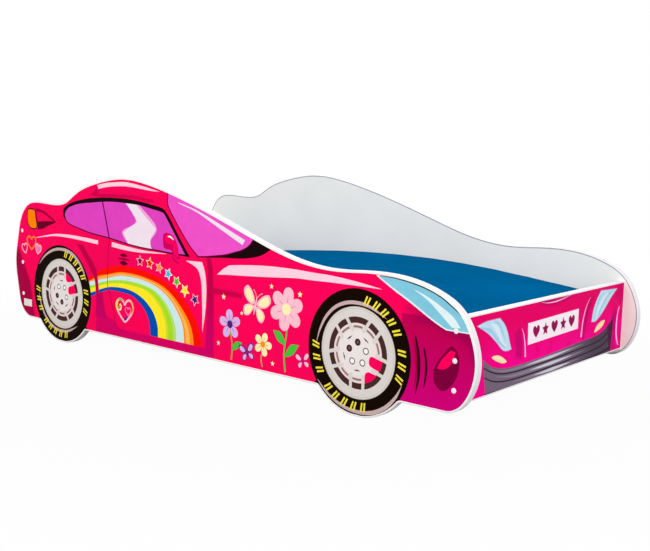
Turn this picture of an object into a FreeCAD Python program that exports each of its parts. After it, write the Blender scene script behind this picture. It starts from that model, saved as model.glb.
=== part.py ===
"""Car bed for children, 140 x 70 cm mattress.

Two car-shaped side boards stand on their wheel lobes and are joined by a head board and a foot board
with connector screws and dowels.  A batten on each side board carries the slats, and the mattress lies
loose on the slats.  Frame: +X to the nose, -Y the side that faces the room, +Z up.  The origin is on
the floor, under the middle of the bed.  Millimetres.
"""
import FreeCAD
import Part

import math
import os
from types import SimpleNamespace

import Sketcher

V = FreeCAD.Vector
doc = FreeCAD.newDocument("car_bed")

# ---------------------------------------------------------------- driving dimensions

SIZES = (
    # mattress and the space for it
    ("mattress_length", 1400, "nominal mattress length"),
    ("mattress_width", 700, "nominal mattress width"),
    ("mattress_end_gap", 3, "gap between mattress and each end board"),
    ("mattress_side_gap", 2, "gap between mattress and each side board"),
    ("mattress_thickness", 124, "thickness at the long edges, where the mattress is thickest"),
    ("mattress_peak", 60, "its thickest place, forward of the middle of the bed"),
    ("mattress_fall", 81, "how much thinner it would be one fall length away from there"),
    ("mattress_fall_length", 1100, "distance over which it thins out in a cosine"),
    ("mattress_crown", 14, "crown of the top across the width"),
    ("mattress_draw_in", 4, "how far the long sides draw in between the corners"),
    ("mattress_rounding", 22, "rounding of the mattress edges"),
    ("mattress_stations", 14, "spans of the mattress form along its length"),
    ("cover_cloth", 1.2, "thickness of the quilted cover"),
    ("soft_clearance", 0.3, "gap between foam and cover, and under the mattress"),
    # boards
    ("board_thickness", 18, "laminated board"),
    ("band_thickness", 2, "edge band"),
    ("band_rounding", 1.5, "rounding of the band's outer corners"),
    ("tail_overhang", 28.5, "side board beyond the head board"),
    ("nose_overhang", 37.8, "side board beyond the foot board"),
    ("foot_board_bottom", 67.5, "underside of the foot board above the floor"),
    ("foot_board_height", 165, "height of the foot board"),
    ("head_board_bottom", 83, "underside of the head board above the floor"),
    ("head_board_height", 225, "height of the head board"),
    # wheel lobes that the side boards stand on
    ("rear_wheel_setback", 174.4, "rear wheel centre in front of the head board"),
    ("front_wheel_setback", 219.8, "front wheel centre behind the foot board"),
    ("wheel_axis_height", 133.3, "wheel centre above the floor"),
    ("lobe_radius", 134, "radius of the board's wheel lobe"),
    ("lobe_fillet", 12, "inside corner between lobe and sill"),
    ("tail_edge_height", 47.5, "lower edge of the board behind the rear wheel"),
    ("sill_edge_height", 46.5, "lower edge of the board between the wheels"),
    ("nose_edge_height", 50, "lower edge of the board in front of the front wheel"),
    # connector screws, dowels and caps
    ("connector_length", 50, "connector screw, overall"),
    ("connector_head", 10, "head diameter"),
    ("connector_head_depth", 4, "countersunk depth of the head"),
    ("connector_shank", 7, "shank diameter"),
    ("connector_thread", 6.4, "thread diameter"),
    ("connector_tip", 3, "length of the pointed tip"),
    ("connector_socket", 4, "hexagon socket across flats"),
    ("connector_socket_depth", 3, "depth of the hexagon socket"),
    ("foot_screw_low", 28, "lowest foot screw above the foot board's underside"),
    ("foot_screw_high", 25, "highest foot screw below the foot board's top"),
    ("head_screw_low", 28.4, "lowest head screw above the head board's underside"),
    ("head_screw_high", 20.6, "highest head screw below the head board's top"),
    ("cap_diameter", 12, "cover cap"),
    ("cap_height", 1.8, "cover cap above the board's face"),
    ("cap_rounding", 1, "rounding of the cap"),
    ("cap_pin", 3.8, "diameter of the cap's pin, in the screw's socket"),
    ("cap_pin_length", 2.5, "length of the cap's pin"),
    ("dowel_diameter", 8, "beech dowel"),
    ("dowel_length", 30, "beech dowel"),
    ("dowel_in_side", 11, "part of the dowel that sits in the side board"),
    ("dowel_chamfer", 1, "chamfer at each end of the dowel"),
    ("fit_clearance", 0.05, "radial clearance of screws, pins and dowels in their holes"),
    ("hole_relief", 1, "blind holes are this much deeper than what they hold"),
    # slatted base
    ("batten_width", 20, "batten, across the bed"),
    ("batten_height", 30, "batten, upright"),
    ("batten_bottom", 72, "underside of the batten above the floor"),
    ("batten_end_gap", 6, "gap between batten and end board"),
    ("batten_rounding", 2, "rounding of the batten's long edges"),
    ("batten_screws", 5, "screws in each batten"),
    ("batten_screw_margin", 70, "first batten screw from the batten's end"),
    ("slat_count", 13, "slats"),
    ("slat_width", 60, "slat, along the bed"),
    ("slat_thickness", 10, "slat"),
    ("slat_rounding", 2.5, "rounding of the slat's long edges"),
    ("slat_side_gap", 2, "gap between slat end and side board"),
    ("slat_end_gap", 12, "gap between the end slats and the end boards"),
    ("strap_width", 20, "webbing strap"),
    ("strap_thickness", 1, "webbing strap"),
    ("strap_offset", 220, "strap from the bed's centre line"),
    ("staple_crown", 10, "staple, outside width"),
    ("staple_wire", 0.9, "staple wire, square"),
    ("staple_leg", 8, "staple, overall height"),
    ("wood_screw_head", 7.4, "head diameter of the wood screws"),
    ("wood_screw_shank", 4, "diameter of the wood screws"),
    ("wood_screw_tip", 4, "length of the pointed tip"),
    ("wood_screw_slot", 1.2, "width of the cross recess"),
    ("wood_screw_slot_depth", 1.4, "depth of the cross recess"),
    ("batten_screw_length", 30, "wood screw through the batten"),
    ("slat_screw_length", 25, "wood screw through the end slats"),
)

# Upper outline of the side board, from the tail's underside over the roof to the nose's underside.
# Each point: its name, the place it is measured from, its distance forward of that place, its height.
OUTLINE = (
    ("tail_corner", "tail", 32, 67),
    ("tail_bumper", "tail", 10, 128),
    ("tail_end", "tail", 0, 200),
    ("tail_lamp", "tail", 13, 270),
    ("tail_shoulder", "tail", 31, 326),
    ("spoiler_edge", "tail", 64, 362),
    ("spoiler_top", "tail", 129, 373),
    ("boot_lid", "rear_wheel", -19, 371),
    ("rear_glass_foot", "rear_wheel", 17, 376),
    ("rear_glass", "rear_wheel", 63, 401),
    ("roof_rear", "rear_wheel", 158, 434.5),
    ("roof_top", "rear_wheel", 272, 449.7),
    ("roof_front", "rear_wheel", 393, 434),
    ("windscreen_top", "rear_wheel", 535, 397),
    ("windscreen", "front_wheel", -321, 347),
    ("windscreen_foot", "front_wheel", -213, 313),
    ("bonnet_rear", "front_wheel", -146, 298.5),
    ("bonnet_dip", "front_wheel", -74, 292),
    ("bonnet_rise", "front_wheel", 42, 297),
    ("bonnet_front", "front_wheel", 121, 292),
    ("headlamp_top", "nose", -92, 275.5),
    ("headlamp_tip", "nose", -42, 247),
    ("nose_upper", "nose", -11, 199),
    ("nose_end", "nose", 0, 150),
    ("nose_lower", "nose", -11, 94),
    ("nose_corner", "nose", -39, 58),
)
TAIL_UNDERSIDE = 74      # where the outline leaves the tail's lower edge, from the tail end
NOSE_UNDERSIDE = 64      # where it meets the nose's lower edge, from the nose end


class Size:
    """A cell of the sheet, or a sum of cells: the expression's text together with its number."""

    def __init__(self, text, value):
        self.text = text
        self.value = value

    def _with(self, sign, other, value):
        return Size(f"({self.text} {sign} {as_size(other).text})", value)

    def __add__(self, other):
        return self._with("+", other, self.value + as_size(other).value)

    def __sub__(self, other):
        return self._with("-", other, self.value - as_size(other).value)

    def __mul__(self, other):
        return self._with("*", other, self.value * as_size(other).value)

    def __truediv__(self, other):
        return self._with("/", other, self.value / as_size(other).value)

    def __neg__(self):
        return Size(f"(-1 * {self.text})", -self.value)


def as_size(number):
    """A plain number as a Size, and a Size as it is."""
    return number if isinstance(number, Size) else Size(str(number), float(number))


def fill_sheet():
    """The spreadsheet of driving dimensions, and each of its cells as a Size."""
    sheet = doc.addObject("Spreadsheet::Sheet", "sizes")
    rows = [(alias, value, meaning) for alias, value, meaning in SIZES]
    rows.append(("tail_underside", TAIL_UNDERSIDE, "outline leaves the tail's lower edge"))
    rows.append(("nose_underside", NOSE_UNDERSIDE, "outline meets the nose's lower edge"))
    for name, station, forward, height in OUTLINE:
        rows.append((name + "_forward", forward, "side board outline, forward of the " + station))
        rows.append((name + "_height", height, "side board outline, above the floor"))
    for row, (alias, value, meaning) in enumerate(rows, start=1):
        sheet.set(f"A{row}", meaning)
        sheet.set(f"B{row}", str(value))
        sheet.setAlias(f"B{row}", alias)
    doc.recompute()
    return {alias: Size("sizes." + alias, float(sheet.get(alias))) for alias, value, meaning in rows}


cells = fill_sheet()
d = SimpleNamespace(**cells)
HALF = as_size(0.5)

# places worked out from the driving dimensions
inner_length = d.mattress_length + d.mattress_end_gap * 2
inner_width = d.mattress_width + d.mattress_side_gap * 2
total_length = inner_length + d.board_thickness * 2 + d.tail_overhang + d.nose_overhang
tail_x = -(total_length * HALF)
nose_x = total_length * HALF
head_face = tail_x + d.tail_overhang + d.board_thickness      # inner face of the head board
foot_face = nose_x - d.nose_overhang - d.board_thickness      # inner face of the foot board
head_middle = head_face - d.board_thickness * HALF
foot_middle = foot_face + d.board_thickness * HALF
rear_wheel_x = head_face + d.rear_wheel_setback
front_wheel_x = foot_face - d.front_wheel_setback
inner_side = inner_width * HALF                               # inner face of the far side board
outer_side = inner_side + d.board_thickness
slat_bottom = d.batten_bottom + d.batten_height
slat_top = slat_bottom + d.slat_thickness
STATIONS = {"tail": tail_x, "rear_wheel": rear_wheel_x, "front_wheel": front_wheel_x, "nose": nose_x}

NEAR, FAR = -1, 1            # the two side boards, by the sign of their Y


# ---------------------------------------------------------------- small tools of the trade

def bind(thing, **properties):
    """Tie properties of a document object to sizes."""
    for name, size in properties.items():
        thing.setExpression(name, as_size(size).text)
    return thing


def place(thing, x=0, y=0, z=0, turn=None):
    """Put an object at a place made of sizes; turn is its rotation."""
    start = V(as_size(x).value, as_size(y).value, as_size(z).value)
    thing.Placement = FreeCAD.Placement(start, turn or FreeCAD.Rotation())
    for axis, size in zip("xyz", (x, y, z)):
        thing.setExpression("Placement.Base." + axis, as_size(size).text)
    return thing


def facing_y(side):
    """The rotation that points a thing's own +Z along Y, towards the given side."""
    return FreeCAD.Rotation(V(1, 0, 0), -90 * side)


def box(name, length, width, height, x, y, z):
    """A box by its lowest corner."""
    thing = doc.addObject("Part::Box", name)
    bind(thing, Length=length, Width=width, Height=height)
    return place(thing, x, y, z)


def cylinder(name, diameter, length, x, y, z, turn=None):
    """A round bar or hole along its own +Z."""
    thing = doc.addObject("Part::Cylinder", name)
    bind(thing, Radius=diameter * HALF, Height=length)
    return place(thing, x, y, z, turn)


def countersink(name, wide, narrow, depth, x, y, z, turn):
    """The cone that a countersunk head sits in, wide at its origin."""
    thing = doc.addObject("Part::Cone", name)
    bind(thing, Radius1=wide * HALF, Radius2=narrow * HALF, Height=depth)
    return place(thing, x, y, z, turn)


def fused(name, things):
    """Several things joined into one tool or piece."""
    if len(things) == 1:
        return things[0]
    thing = doc.addObject("Part::MultiFuse", name)
    thing.Shapes = things
    return thing


def cut(name, base, tool):
    """Base with the tool taken away."""
    thing = doc.addObject("Part::Cut", name)
    thing.Base = base
    thing.Tool = tool
    return thing


def common(name, base, tool):
    """What base and tool share."""
    thing = doc.addObject("Part::Common", name)
    thing.Base = base
    thing.Tool = tool
    return thing


def rounded(name, base, radius, wanted):
    """Round the edges of base that the wanted function picks."""
    doc.recompute()
    thing = doc.addObject("Part::Fillet", name)
    thing.Base = base
    edges = base.Shape.Edges
    thing.Edges = [(i + 1, radius.value, radius.value) for i, edge in enumerate(edges) if wanted(edge)]
    return thing


def origin_plane(body, role):
    """One of a body's own origin planes."""
    return next(feature for feature in body.Origin.OriginFeatures if feature.Role == role)


def polygon_sketch(body, name, role, corners):
    """A closed sketch on a body's origin plane, each corner tied to its two sizes."""
    sketch = body.newObject("Sketcher::SketchObject", name)
    sketch.AttachmentSupport = (origin_plane(body, role), [""])
    sketch.MapMode = "FlatFace"
    add_polygon(sketch, corners)
    return sketch


def add_polygon(sketch, corners):
    """Add one closed outline of straight lines, each corner tied to its two sizes."""
    points = [V(as_size(a).value, as_size(b).value, 0) for a, b in corners]
    first = sketch.GeometryCount
    count = len(points)
    for i in range(count):
        sketch.addGeometry(Part.LineSegment(points[i], points[(i + 1) % count]), False)
    for i in range(count):
        sketch.addConstraint(Sketcher.Constraint("Coincident", first + i, 2, first + (i + 1) % count, 1))
    for i, corner in enumerate(corners):
        for kind, axis, size in zip(("DistanceX", "DistanceY"), (-2, -1), corner):
            size = as_size(size)
            if size.text == "0":
                sketch.addConstraint(Sketcher.Constraint("PointOnObject", first + i, 1, axis))
                continue
            index = sketch.addConstraint(Sketcher.Constraint(kind, -1, 1, first + i, 1, size.value))
            sketch.setExpression(f"Constraints[{index}]", size.text)


def turned_body(name, profile):
    """A body turned about its own Z axis; the profile's corners are radius and height."""
    body = doc.addObject("PartDesign::Body", name)
    sketch = polygon_sketch(body, name + "_profile", "XZ_Plane", profile)
    turn = body.newObject("PartDesign::Revolution", name + "_turned")
    turn.Profile = sketch
    turn.ReferenceAxis = (sketch, ["V_Axis"])
    turn.Angle = 360
    doc.recompute()
    return body


def pocket(body, name, sketch, depth, deeper_is_up=False):
    """Cut a sketch into a body; the pocket goes down its own Z, or up."""
    before = body.Shape.Volume
    feature = body.newObject("PartDesign::Pocket", name)
    feature.Profile = sketch
    feature.Length = depth.value
    feature.setExpression("Length", depth.text)
    feature.Reversed = deeper_is_up
    doc.recompute()
    if not body.Shape.Volume < before:
        raise RuntimeError(name + " takes nothing away")
    return feature


def copies(name, master, places):
    """One node made of separate copies of a master piece; each place is x, y, z and a turn."""
    links = []
    for number, (x, y, z, turn) in enumerate(places, start=1):
        link = doc.addObject("App::Link", f"{name}_{number}")
        link.LinkedObject = master
        links.append(place(link, x, y, z, turn))
    group = doc.addObject("Part::Compound", name)
    group.Links = links
    return group


pieces = []                  # the sub-parts that are written out


def keep(thing, label):
    """Name a sub-part and put it on the list of pieces."""
    thing.Label = label
    pieces.append(thing)
    return thing


# ---------------------------------------------------------------- side board outline

def arc(start, tangent, end):
    """The arc that leaves start along the tangent and reaches end, as an edge."""
    across = end - start
    normal = V(-tangent.z, 0, tangent.x)
    lean = across.dot(normal)
    if abs(lean) < 1e-4 * across.Length:
        return Part.LineSegment(start, end).toShape()
    radius = across.dot(across) / (2 * lean)
    centre = start + normal * radius
    middle = (start + end) * 0.5 - centre
    if across.dot(tangent) < 0:
        middle = middle * -1
    middle.normalize()
    return Part.Arc(start, centre + middle * abs(radius), end).toShape()


def paired_arcs(start, start_tangent, end, end_tangent):
    """Two arcs that join two points smoothly and have the given directions there."""
    across = end - start
    both = start_tangent + end_tangent
    a = 2 * (1 - start_tangent.dot(end_tangent))
    b = across.dot(both)
    reach = across.dot(across) / (2 * b) if a < 1e-9 else (
        (math.sqrt(b * b + a * across.dot(across)) - b) / a)
    first = start + start_tangent * reach
    last = end - end_tangent * reach
    joint = (first + last) * 0.5
    joint_tangent = last - first
    joint_tangent.normalize()
    return [arc(start, start_tangent, joint), arc(joint, joint_tangent, end)]


def lobe_edges(centre_x, edge_in_front, edge_behind):
    """The lower outline round one wheel lobe, from in front of it to behind it."""
    centre_z = d.wheel_axis_height.value
    radius = d.lobe_radius.value
    fillet = d.lobe_fillet.value
    flat = math.sqrt(radius ** 2 - centre_z ** 2)
    lowest = V(centre_x, 0, centre_z - radius)

    def side(sign, edge):
        """Corner points on one side: on the edge, on the fillet's middle, on the lobe, at the flat."""
        rise = centre_z - (edge - fillet)
        run = math.sqrt((radius + fillet) ** 2 - rise ** 2)
        fillet_centre = V(centre_x + sign * run, 0, edge - fillet)
        on_edge = V(fillet_centre.x, 0, edge)
        inward = V(centre_x, 0, centre_z) - fillet_centre
        inward.normalize()
        on_lobe = fillet_centre + inward * fillet
        bisector = V(0, 0, 1) + inward
        bisector.normalize()
        start = math.atan2(on_lobe.z - centre_z, on_lobe.x - centre_x)
        stop = math.atan2(-centre_z, sign * flat)
        half_way = (start + stop) / 2
        on_arc = V(centre_x + radius * math.cos(half_way), 0, centre_z + radius * math.sin(half_way))
        return on_edge, fillet_centre + bisector * fillet, on_lobe, on_arc, V(centre_x + sign * flat, 0, 0)

    edge_1, bend_1, lobe_1, arc_1, flat_1 = side(1, edge_in_front)
    edge_2, bend_2, lobe_2, arc_2, flat_2 = side(-1, edge_behind)
    edges = [
        Part.Arc(edge_1, bend_1, lobe_1).toShape(),
        Part.Arc(lobe_1, arc_1, flat_1).toShape(),
        Part.LineSegment(flat_1, flat_2).toShape(),
        Part.Arc(flat_2, arc_2, lobe_2).toShape(),
        Part.Arc(lobe_2, bend_2, edge_2).toShape(),
    ]
    return edge_1, edges, edge_2


def side_outline_edges():
    """The whole outline of a side board: arcs over the top, then back along the floor side."""
    start = V(tail_x.value + d.tail_underside.value, 0, d.tail_edge_height.value)
    points = [start]
    for name, station, forward, height in OUTLINE:
        x = STATIONS[station].value + cells[name + "_forward"].value
        points.append(V(x, 0, cells[name + "_height"].value))
    points.append(V(nose_x.value - d.nose_underside.value, 0, d.nose_edge_height.value))
    travelled = [0.0]
    for previous, point in zip(points, points[1:]):
        travelled.append(travelled[-1] + previous.distanceToPoint(point))
    guide = Part.BSplineCurve()
    guide.interpolate(Points=points, Parameters=travelled, InitialTangent=V(-1, 0, 0),
                      FinalTangent=V(-1, 0, 0), Scale=False)
    tangents = [guide.tangent(way)[0].normalize() for way in travelled]
    edges = []
    for i in range(len(points) - 1):
        edges += paired_arcs(points[i], tangents[i], points[i + 1], tangents[i + 1])
    front_1, front, front_2 = lobe_edges(front_wheel_x.value, d.nose_edge_height.value,
                                         d.sill_edge_height.value)
    rear_1, rear, rear_2 = lobe_edges(rear_wheel_x.value, d.sill_edge_height.value,
                                      d.tail_edge_height.value)
    edges.append(Part.LineSegment(points[-1], front_1).toShape())
    edges += front
    edges.append(Part.LineSegment(front_2, rear_1).toShape())
    edges += rear
    edges.append(Part.LineSegment(rear_2, start).toShape())
    return edges, (front_1, front_2, rear_1, rear_2)


outline_edges, (front_lobe_front, front_lobe_rear, rear_lobe_front, rear_lobe_rear) = side_outline_edges()
side_outline = doc.addObject("Part::Feature", "side_outline")
side_outline.Shape = Part.Face(Part.Wire(outline_edges))
core_outline = doc.addObject("Part::Offset2D", "side_core_outline")
core_outline.Source = side_outline
bind(core_outline, Value=-d.band_thickness)


def board_from(outline, name, y):
    """An outline extruded to the board's thickness."""
    thing = doc.addObject("Part::Extrusion", name)
    thing.Base = outline
    thing.DirMode = "Custom"
    thing.Dir = V(0, 1, 0)
    thing.Solid = True
    bind(thing, LengthFwd=d.board_thickness)
    return place(thing, 0, y, 0)


# ---------------------------------------------------------------- where the fasteners go

head_screw_pitch = (d.head_board_height - d.head_screw_low - d.head_screw_high) * HALF
foot_screw_pitch = (d.foot_board_height - d.foot_screw_low - d.foot_screw_high) * HALF
head_screw_heights = [d.head_board_bottom + d.head_screw_low + head_screw_pitch * i for i in range(3)]
foot_screw_heights = [d.foot_board_bottom + d.foot_screw_low + foot_screw_pitch * i for i in range(3)]
head_dowel_heights = [height + head_screw_pitch * HALF for height in head_screw_heights[:2]]
foot_dowel_heights = [height + foot_screw_pitch * HALF for height in foot_screw_heights[:2]]
ENDS = {
    "head": SimpleNamespace(x=head_middle, screws=head_screw_heights, dowels=head_dowel_heights),
    "foot": SimpleNamespace(x=foot_middle, screws=foot_screw_heights, dowels=foot_dowel_heights),
}
SIDES = {"near": NEAR, "far": FAR}

batten_start = head_face + d.batten_end_gap
batten_length = inner_length - d.batten_end_gap * 2
batten_middle_z = d.batten_bottom + d.batten_height * HALF
batten_screw_count = int(d.batten_screws.value)
batten_screw_pitch = (batten_length - d.batten_screw_margin * 2) / (batten_screw_count - 1)
batten_screw_places = [batten_start + d.batten_screw_margin + batten_screw_pitch * i
                       for i in range(batten_screw_count)]
slat_number = int(d.slat_count.value)
slat_pitch = (inner_length - d.slat_end_gap * 2 - d.slat_width) / (slat_number - 1)
slat_middles = [head_face + d.slat_end_gap + d.slat_width * HALF + slat_pitch * i
                for i in range(slat_number)]
end_slat_middles = [slat_middles[0], slat_middles[-1]]
slat_screw_y = inner_side - d.batten_width * HALF

shank_hole = d.connector_shank + d.fit_clearance * 2
thread_hole = d.connector_thread + d.fit_clearance * 2
dowel_hole = d.dowel_diameter + d.fit_clearance * 2
wood_screw_hole = d.wood_screw_shank + d.fit_clearance * 2
wood_screw_sink = (d.wood_screw_head - d.wood_screw_shank) * HALF      # 45 degree countersink
batten_screw_in_side = d.batten_screw_length - d.batten_width
slat_screw_in_batten = d.slat_screw_length - d.slat_thickness


# ---------------------------------------------------------------- side boards and their edge bands

def side_board_holes(side_name, sign):
    """Connector holes with their countersinks, dowel holes and the pilot holes of the batten screws."""
    inward = facing_y(-sign)
    outward = facing_y(sign)
    outer = outer_side * sign
    holes = []
    for end_name, end in ENDS.items():
        for i, z in enumerate(end.screws):
            name = f"{side_name}_{end_name}_hole_{i + 1}"
            holes.append(cylinder(name, shank_hole, d.board_thickness, end.x, outer, z, inward))
            holes.append(countersink(name + "_sink", d.connector_head + d.fit_clearance * 2, shank_hole,
                                     d.connector_head_depth, end.x, outer, z, inward))
        for i, z in enumerate(end.dowels):
            holes.append(cylinder(f"{side_name}_{end_name}_side_dowel_hole_{i + 1}", dowel_hole,
                                  d.dowel_in_side + d.hole_relief, end.x, inner_side * sign, z, outward))
    for i, x in enumerate(batten_screw_places):
        holes.append(cylinder(f"{side_name}_batten_pilot_{i + 1}", wood_screw_hole,
                              batten_screw_in_side + d.hole_relief, x, inner_side * sign,
                              batten_middle_z, outward))
    return fused(side_name + "_side_holes", holes)


def side_board(side_name, sign):
    """The printed board inside its edge bands."""
    lower_y = inner_side if sign == FAR else -outer_side
    blank = board_from(core_outline, side_name + "_side_core", lower_y)
    drilled = cut(side_name + "_side_drilled", blank, side_board_holes(side_name, sign))
    keep(drilled, side_name + "_side_panel")

    outer_blank = board_from(side_outline, side_name + "_side_blank", lower_y)
    round_blank = rounded(side_name + "_side_blank_round", outer_blank, d.band_rounding,
                          lambda edge: abs(edge.Vertexes[0].Y - edge.Vertexes[-1].Y) < 1e-6)
    ring = cut(side_name + "_side_band_ring", round_blank,
               board_from(core_outline, side_name + "_side_core_space", lower_y))
    split_band(side_name, ring, lower_y)


def split_band(side_name, ring, lower_y):
    """The band in four strips that butt where the lower edge runs into the wheel lobes."""
    room = 5                                           # how far the cutting boxes pass the board
    low = -room
    high = d.sill_edge_height.value + d.lobe_fillet.value + room
    spans = {
        "rear_wheel": (rear_lobe_rear.x, rear_lobe_front.x),
        "sill": (rear_lobe_front.x, front_lobe_rear.x),
        "front_wheel": (front_lobe_rear.x, front_lobe_front.x),
    }
    for strip, (x_1, x_2) in spans.items():
        space = box(f"{side_name}_{strip}_space", x_2 - x_1, d.board_thickness + 2 * room, high - low,
                    x_1, lower_y - room, low)
        keep(common(f"{side_name}_{strip}_strip", ring, space), f"{side_name}_{strip}_edge_band")
    lower_space = box(side_name + "_lower_space", front_lobe_front.x - rear_lobe_rear.x,
                      d.board_thickness + 2 * room, high - low, rear_lobe_rear.x, lower_y - room, low)
    keep(cut(side_name + "_upper_strip", ring, lower_space), side_name + "_body_edge_band")


for side_name, sign in SIDES.items():
    side_board(side_name, sign)


# ---------------------------------------------------------------- head board and foot board

def end_board(end_name, x, bottom, height):
    """An end board between the side boards, drilled in its ends, with a band above and below."""
    end = ENDS[end_name]
    blank = box(end_name + "_core", d.board_thickness, inner_width, height - d.band_thickness * 2,
                x, -inner_side, bottom + d.band_thickness)
    holes = []
    for side_name, sign in SIDES.items():
        inward = facing_y(-sign)
        for i, z in enumerate(end.screws):
            holes.append(cylinder(f"{end_name}_{side_name}_pilot_{i + 1}", thread_hole,
                                  d.connector_length - d.board_thickness + d.hole_relief,
                                  end.x, inner_side * sign, z, inward))
        for i, z in enumerate(end.dowels):
            holes.append(cylinder(f"{end_name}_{side_name}_dowel_hole_{i + 1}", dowel_hole,
                                  d.dowel_length - d.dowel_in_side + d.hole_relief,
                                  end.x, inner_side * sign, z, inward))
    keep(cut(end_name + "_drilled", blank, fused(end_name + "_holes", holes)), end_name + "_panel")
    top_z = bottom + height - d.band_thickness
    for edge_name, z, outer_z in (("bottom", bottom, bottom), ("top", top_z, bottom + height)):
        strip = box(f"{end_name}_{edge_name}_strip", d.board_thickness, inner_width, d.band_thickness,
                    x, -inner_side, z)
        lip = outer_z.value
        keep(rounded(f"{end_name}_{edge_name}_strip_round", strip, d.band_rounding,
                     lambda edge: abs(edge.Vertexes[0].Z - lip) + abs(edge.Vertexes[-1].Z - lip) < 1e-6
                     and edge.Length > d.board_thickness.value + 1),
             f"{end_name}_{edge_name}_edge_band")


end_board("head", head_face - d.board_thickness, d.head_board_bottom, d.head_board_height)
end_board("foot", foot_face, d.foot_board_bottom, d.foot_board_height)


# ---------------------------------------------------------------- connector screws, dowels, caps

def connector_screw():
    """Countersunk connector screw with a hexagon socket; the head's face is at Z 0, the tip below."""
    head = d.connector_head * HALF
    shank = d.connector_shank * HALF
    thread = d.connector_thread * HALF
    body = turned_body("connector_screw", [
        (0, 0),
        (head, 0),
        (shank, -d.connector_head_depth),
        (shank, -d.board_thickness),
        (thread, -d.board_thickness),
        (thread, -(d.connector_length - d.connector_tip)),
        (thread * HALF, -d.connector_length),
        (0, -d.connector_length),
    ])
    corner = d.connector_socket / math.sqrt(3)
    flat = d.connector_socket * HALF
    hexagon = [(corner, 0), (corner * HALF, flat), (-(corner * HALF), flat),
               (-corner, 0), (-(corner * HALF), -flat), (corner * HALF, -flat)]
    sketch = polygon_sketch(body, "connector_socket_sketch", "XY_Plane", hexagon)
    pocket(body, "connector_socket_pocket", sketch, d.connector_socket_depth)
    return body


def cover_cap():
    """Round plastic cap; its underside lies on the board at Z 0 and its pin sits in the socket."""
    radius = d.cap_diameter * HALF
    pin = d.cap_pin * HALF
    slope = d.cap_rounding
    return turned_body("cover_cap", [
        (0, -d.cap_pin_length),
        (pin, -d.cap_pin_length),
        (pin, 0),
        (radius, 0),
        (radius, d.cap_height - slope),
        (radius - slope * 0.3, d.cap_height - slope * 0.3),
        (radius - slope, d.cap_height),
        (0, d.cap_height),
    ])


def dowel():
    """Beech dowel along Z from its middle, chamfered at both ends."""
    radius = d.dowel_diameter * HALF
    end = d.dowel_length * HALF
    bevel = d.dowel_chamfer
    return turned_body("dowel", [
        (0, -end), (radius - bevel, -end), (radius, bevel - end),
        (radius, end - bevel), (radius - bevel, end), (0, end),
    ])


screw_master = connector_screw()
cap_master = cover_cap()
dowel_master = dowel()
dowel_middle_y = inner_side + d.dowel_in_side - d.dowel_length * HALF

for side_name, sign in SIDES.items():
    outward = facing_y(sign)
    for end_name, end in ENDS.items():
        corner_name = f"{side_name}_{end_name}"
        on_face = [(end.x, outer_side * sign, z, outward) for z in end.screws]
        in_joint = [(end.x, dowel_middle_y * sign, z, outward) for z in end.dowels]
        keep(copies(corner_name + "_screws", screw_master, on_face), corner_name + "_connector_screws")
        keep(copies(corner_name + "_caps", cap_master, on_face), corner_name + "_cover_caps")
        keep(copies(corner_name + "_pegs", dowel_master, in_joint), corner_name + "_dowels")


# ---------------------------------------------------------------- battens

def batten(side_name, sign):
    """The batten that carries the slat ends, screwed to a side board from inside."""
    inner_y = inner_side - d.batten_width              # the face away from the board, on the far side
    lower_y = inner_y if sign == FAR else -inner_side
    blank = box(side_name + "_batten_blank", batten_length, d.batten_width, d.batten_height,
                batten_start, lower_y, d.batten_bottom)
    round_blank = rounded(side_name + "_batten_round", blank, d.batten_rounding,
                          lambda edge: abs(edge.Vertexes[0].X - edge.Vertexes[-1].X) > 1
                          and abs(edge.Vertexes[0].Y - inner_y.value * sign) < 1e-6)
    toward_board = facing_y(sign)
    holes = []
    for i, x in enumerate(batten_screw_places):
        name = f"{side_name}_batten_hole_{i + 1}"
        holes.append(cylinder(name, wood_screw_hole, d.batten_width, x, inner_y * sign,
                              batten_middle_z, toward_board))
        holes.append(countersink(name + "_sink", d.wood_screw_head + d.fit_clearance * 2,
                                 wood_screw_hole, wood_screw_sink, x, inner_y * sign,
                                 batten_middle_z, toward_board))
    for i, x in enumerate(end_slat_middles):
        depth = slat_screw_in_batten + d.hole_relief
        holes.append(cylinder(f"{side_name}_batten_slat_hole_{i + 1}", wood_screw_hole, depth,
                              x, slat_screw_y * sign, slat_bottom - depth))
    keep(cut(side_name + "_batten_drilled", round_blank, fused(side_name + "_batten_holes", holes)),
         side_name + "_batten")


for side_name, sign in SIDES.items():
    batten(side_name, sign)


# ---------------------------------------------------------------- slats, straps and staples

slat_length = inner_width - d.slat_side_gap * 2
staple_reach = d.staple_crown * HALF                   # outside of a leg from the staple's middle
leg_hole = d.staple_wire + d.fit_clearance * 2
leg_middle = staple_reach - d.staple_wire * HALF
strap_bottom = slat_bottom - d.strap_thickness


def leg_corners(x, y):
    """The square hole of a staple leg."""
    half = leg_hole * HALF
    return [(x - half, y - half), (x + half, y - half), (x + half, y + half), (x - half, y + half)]


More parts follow.
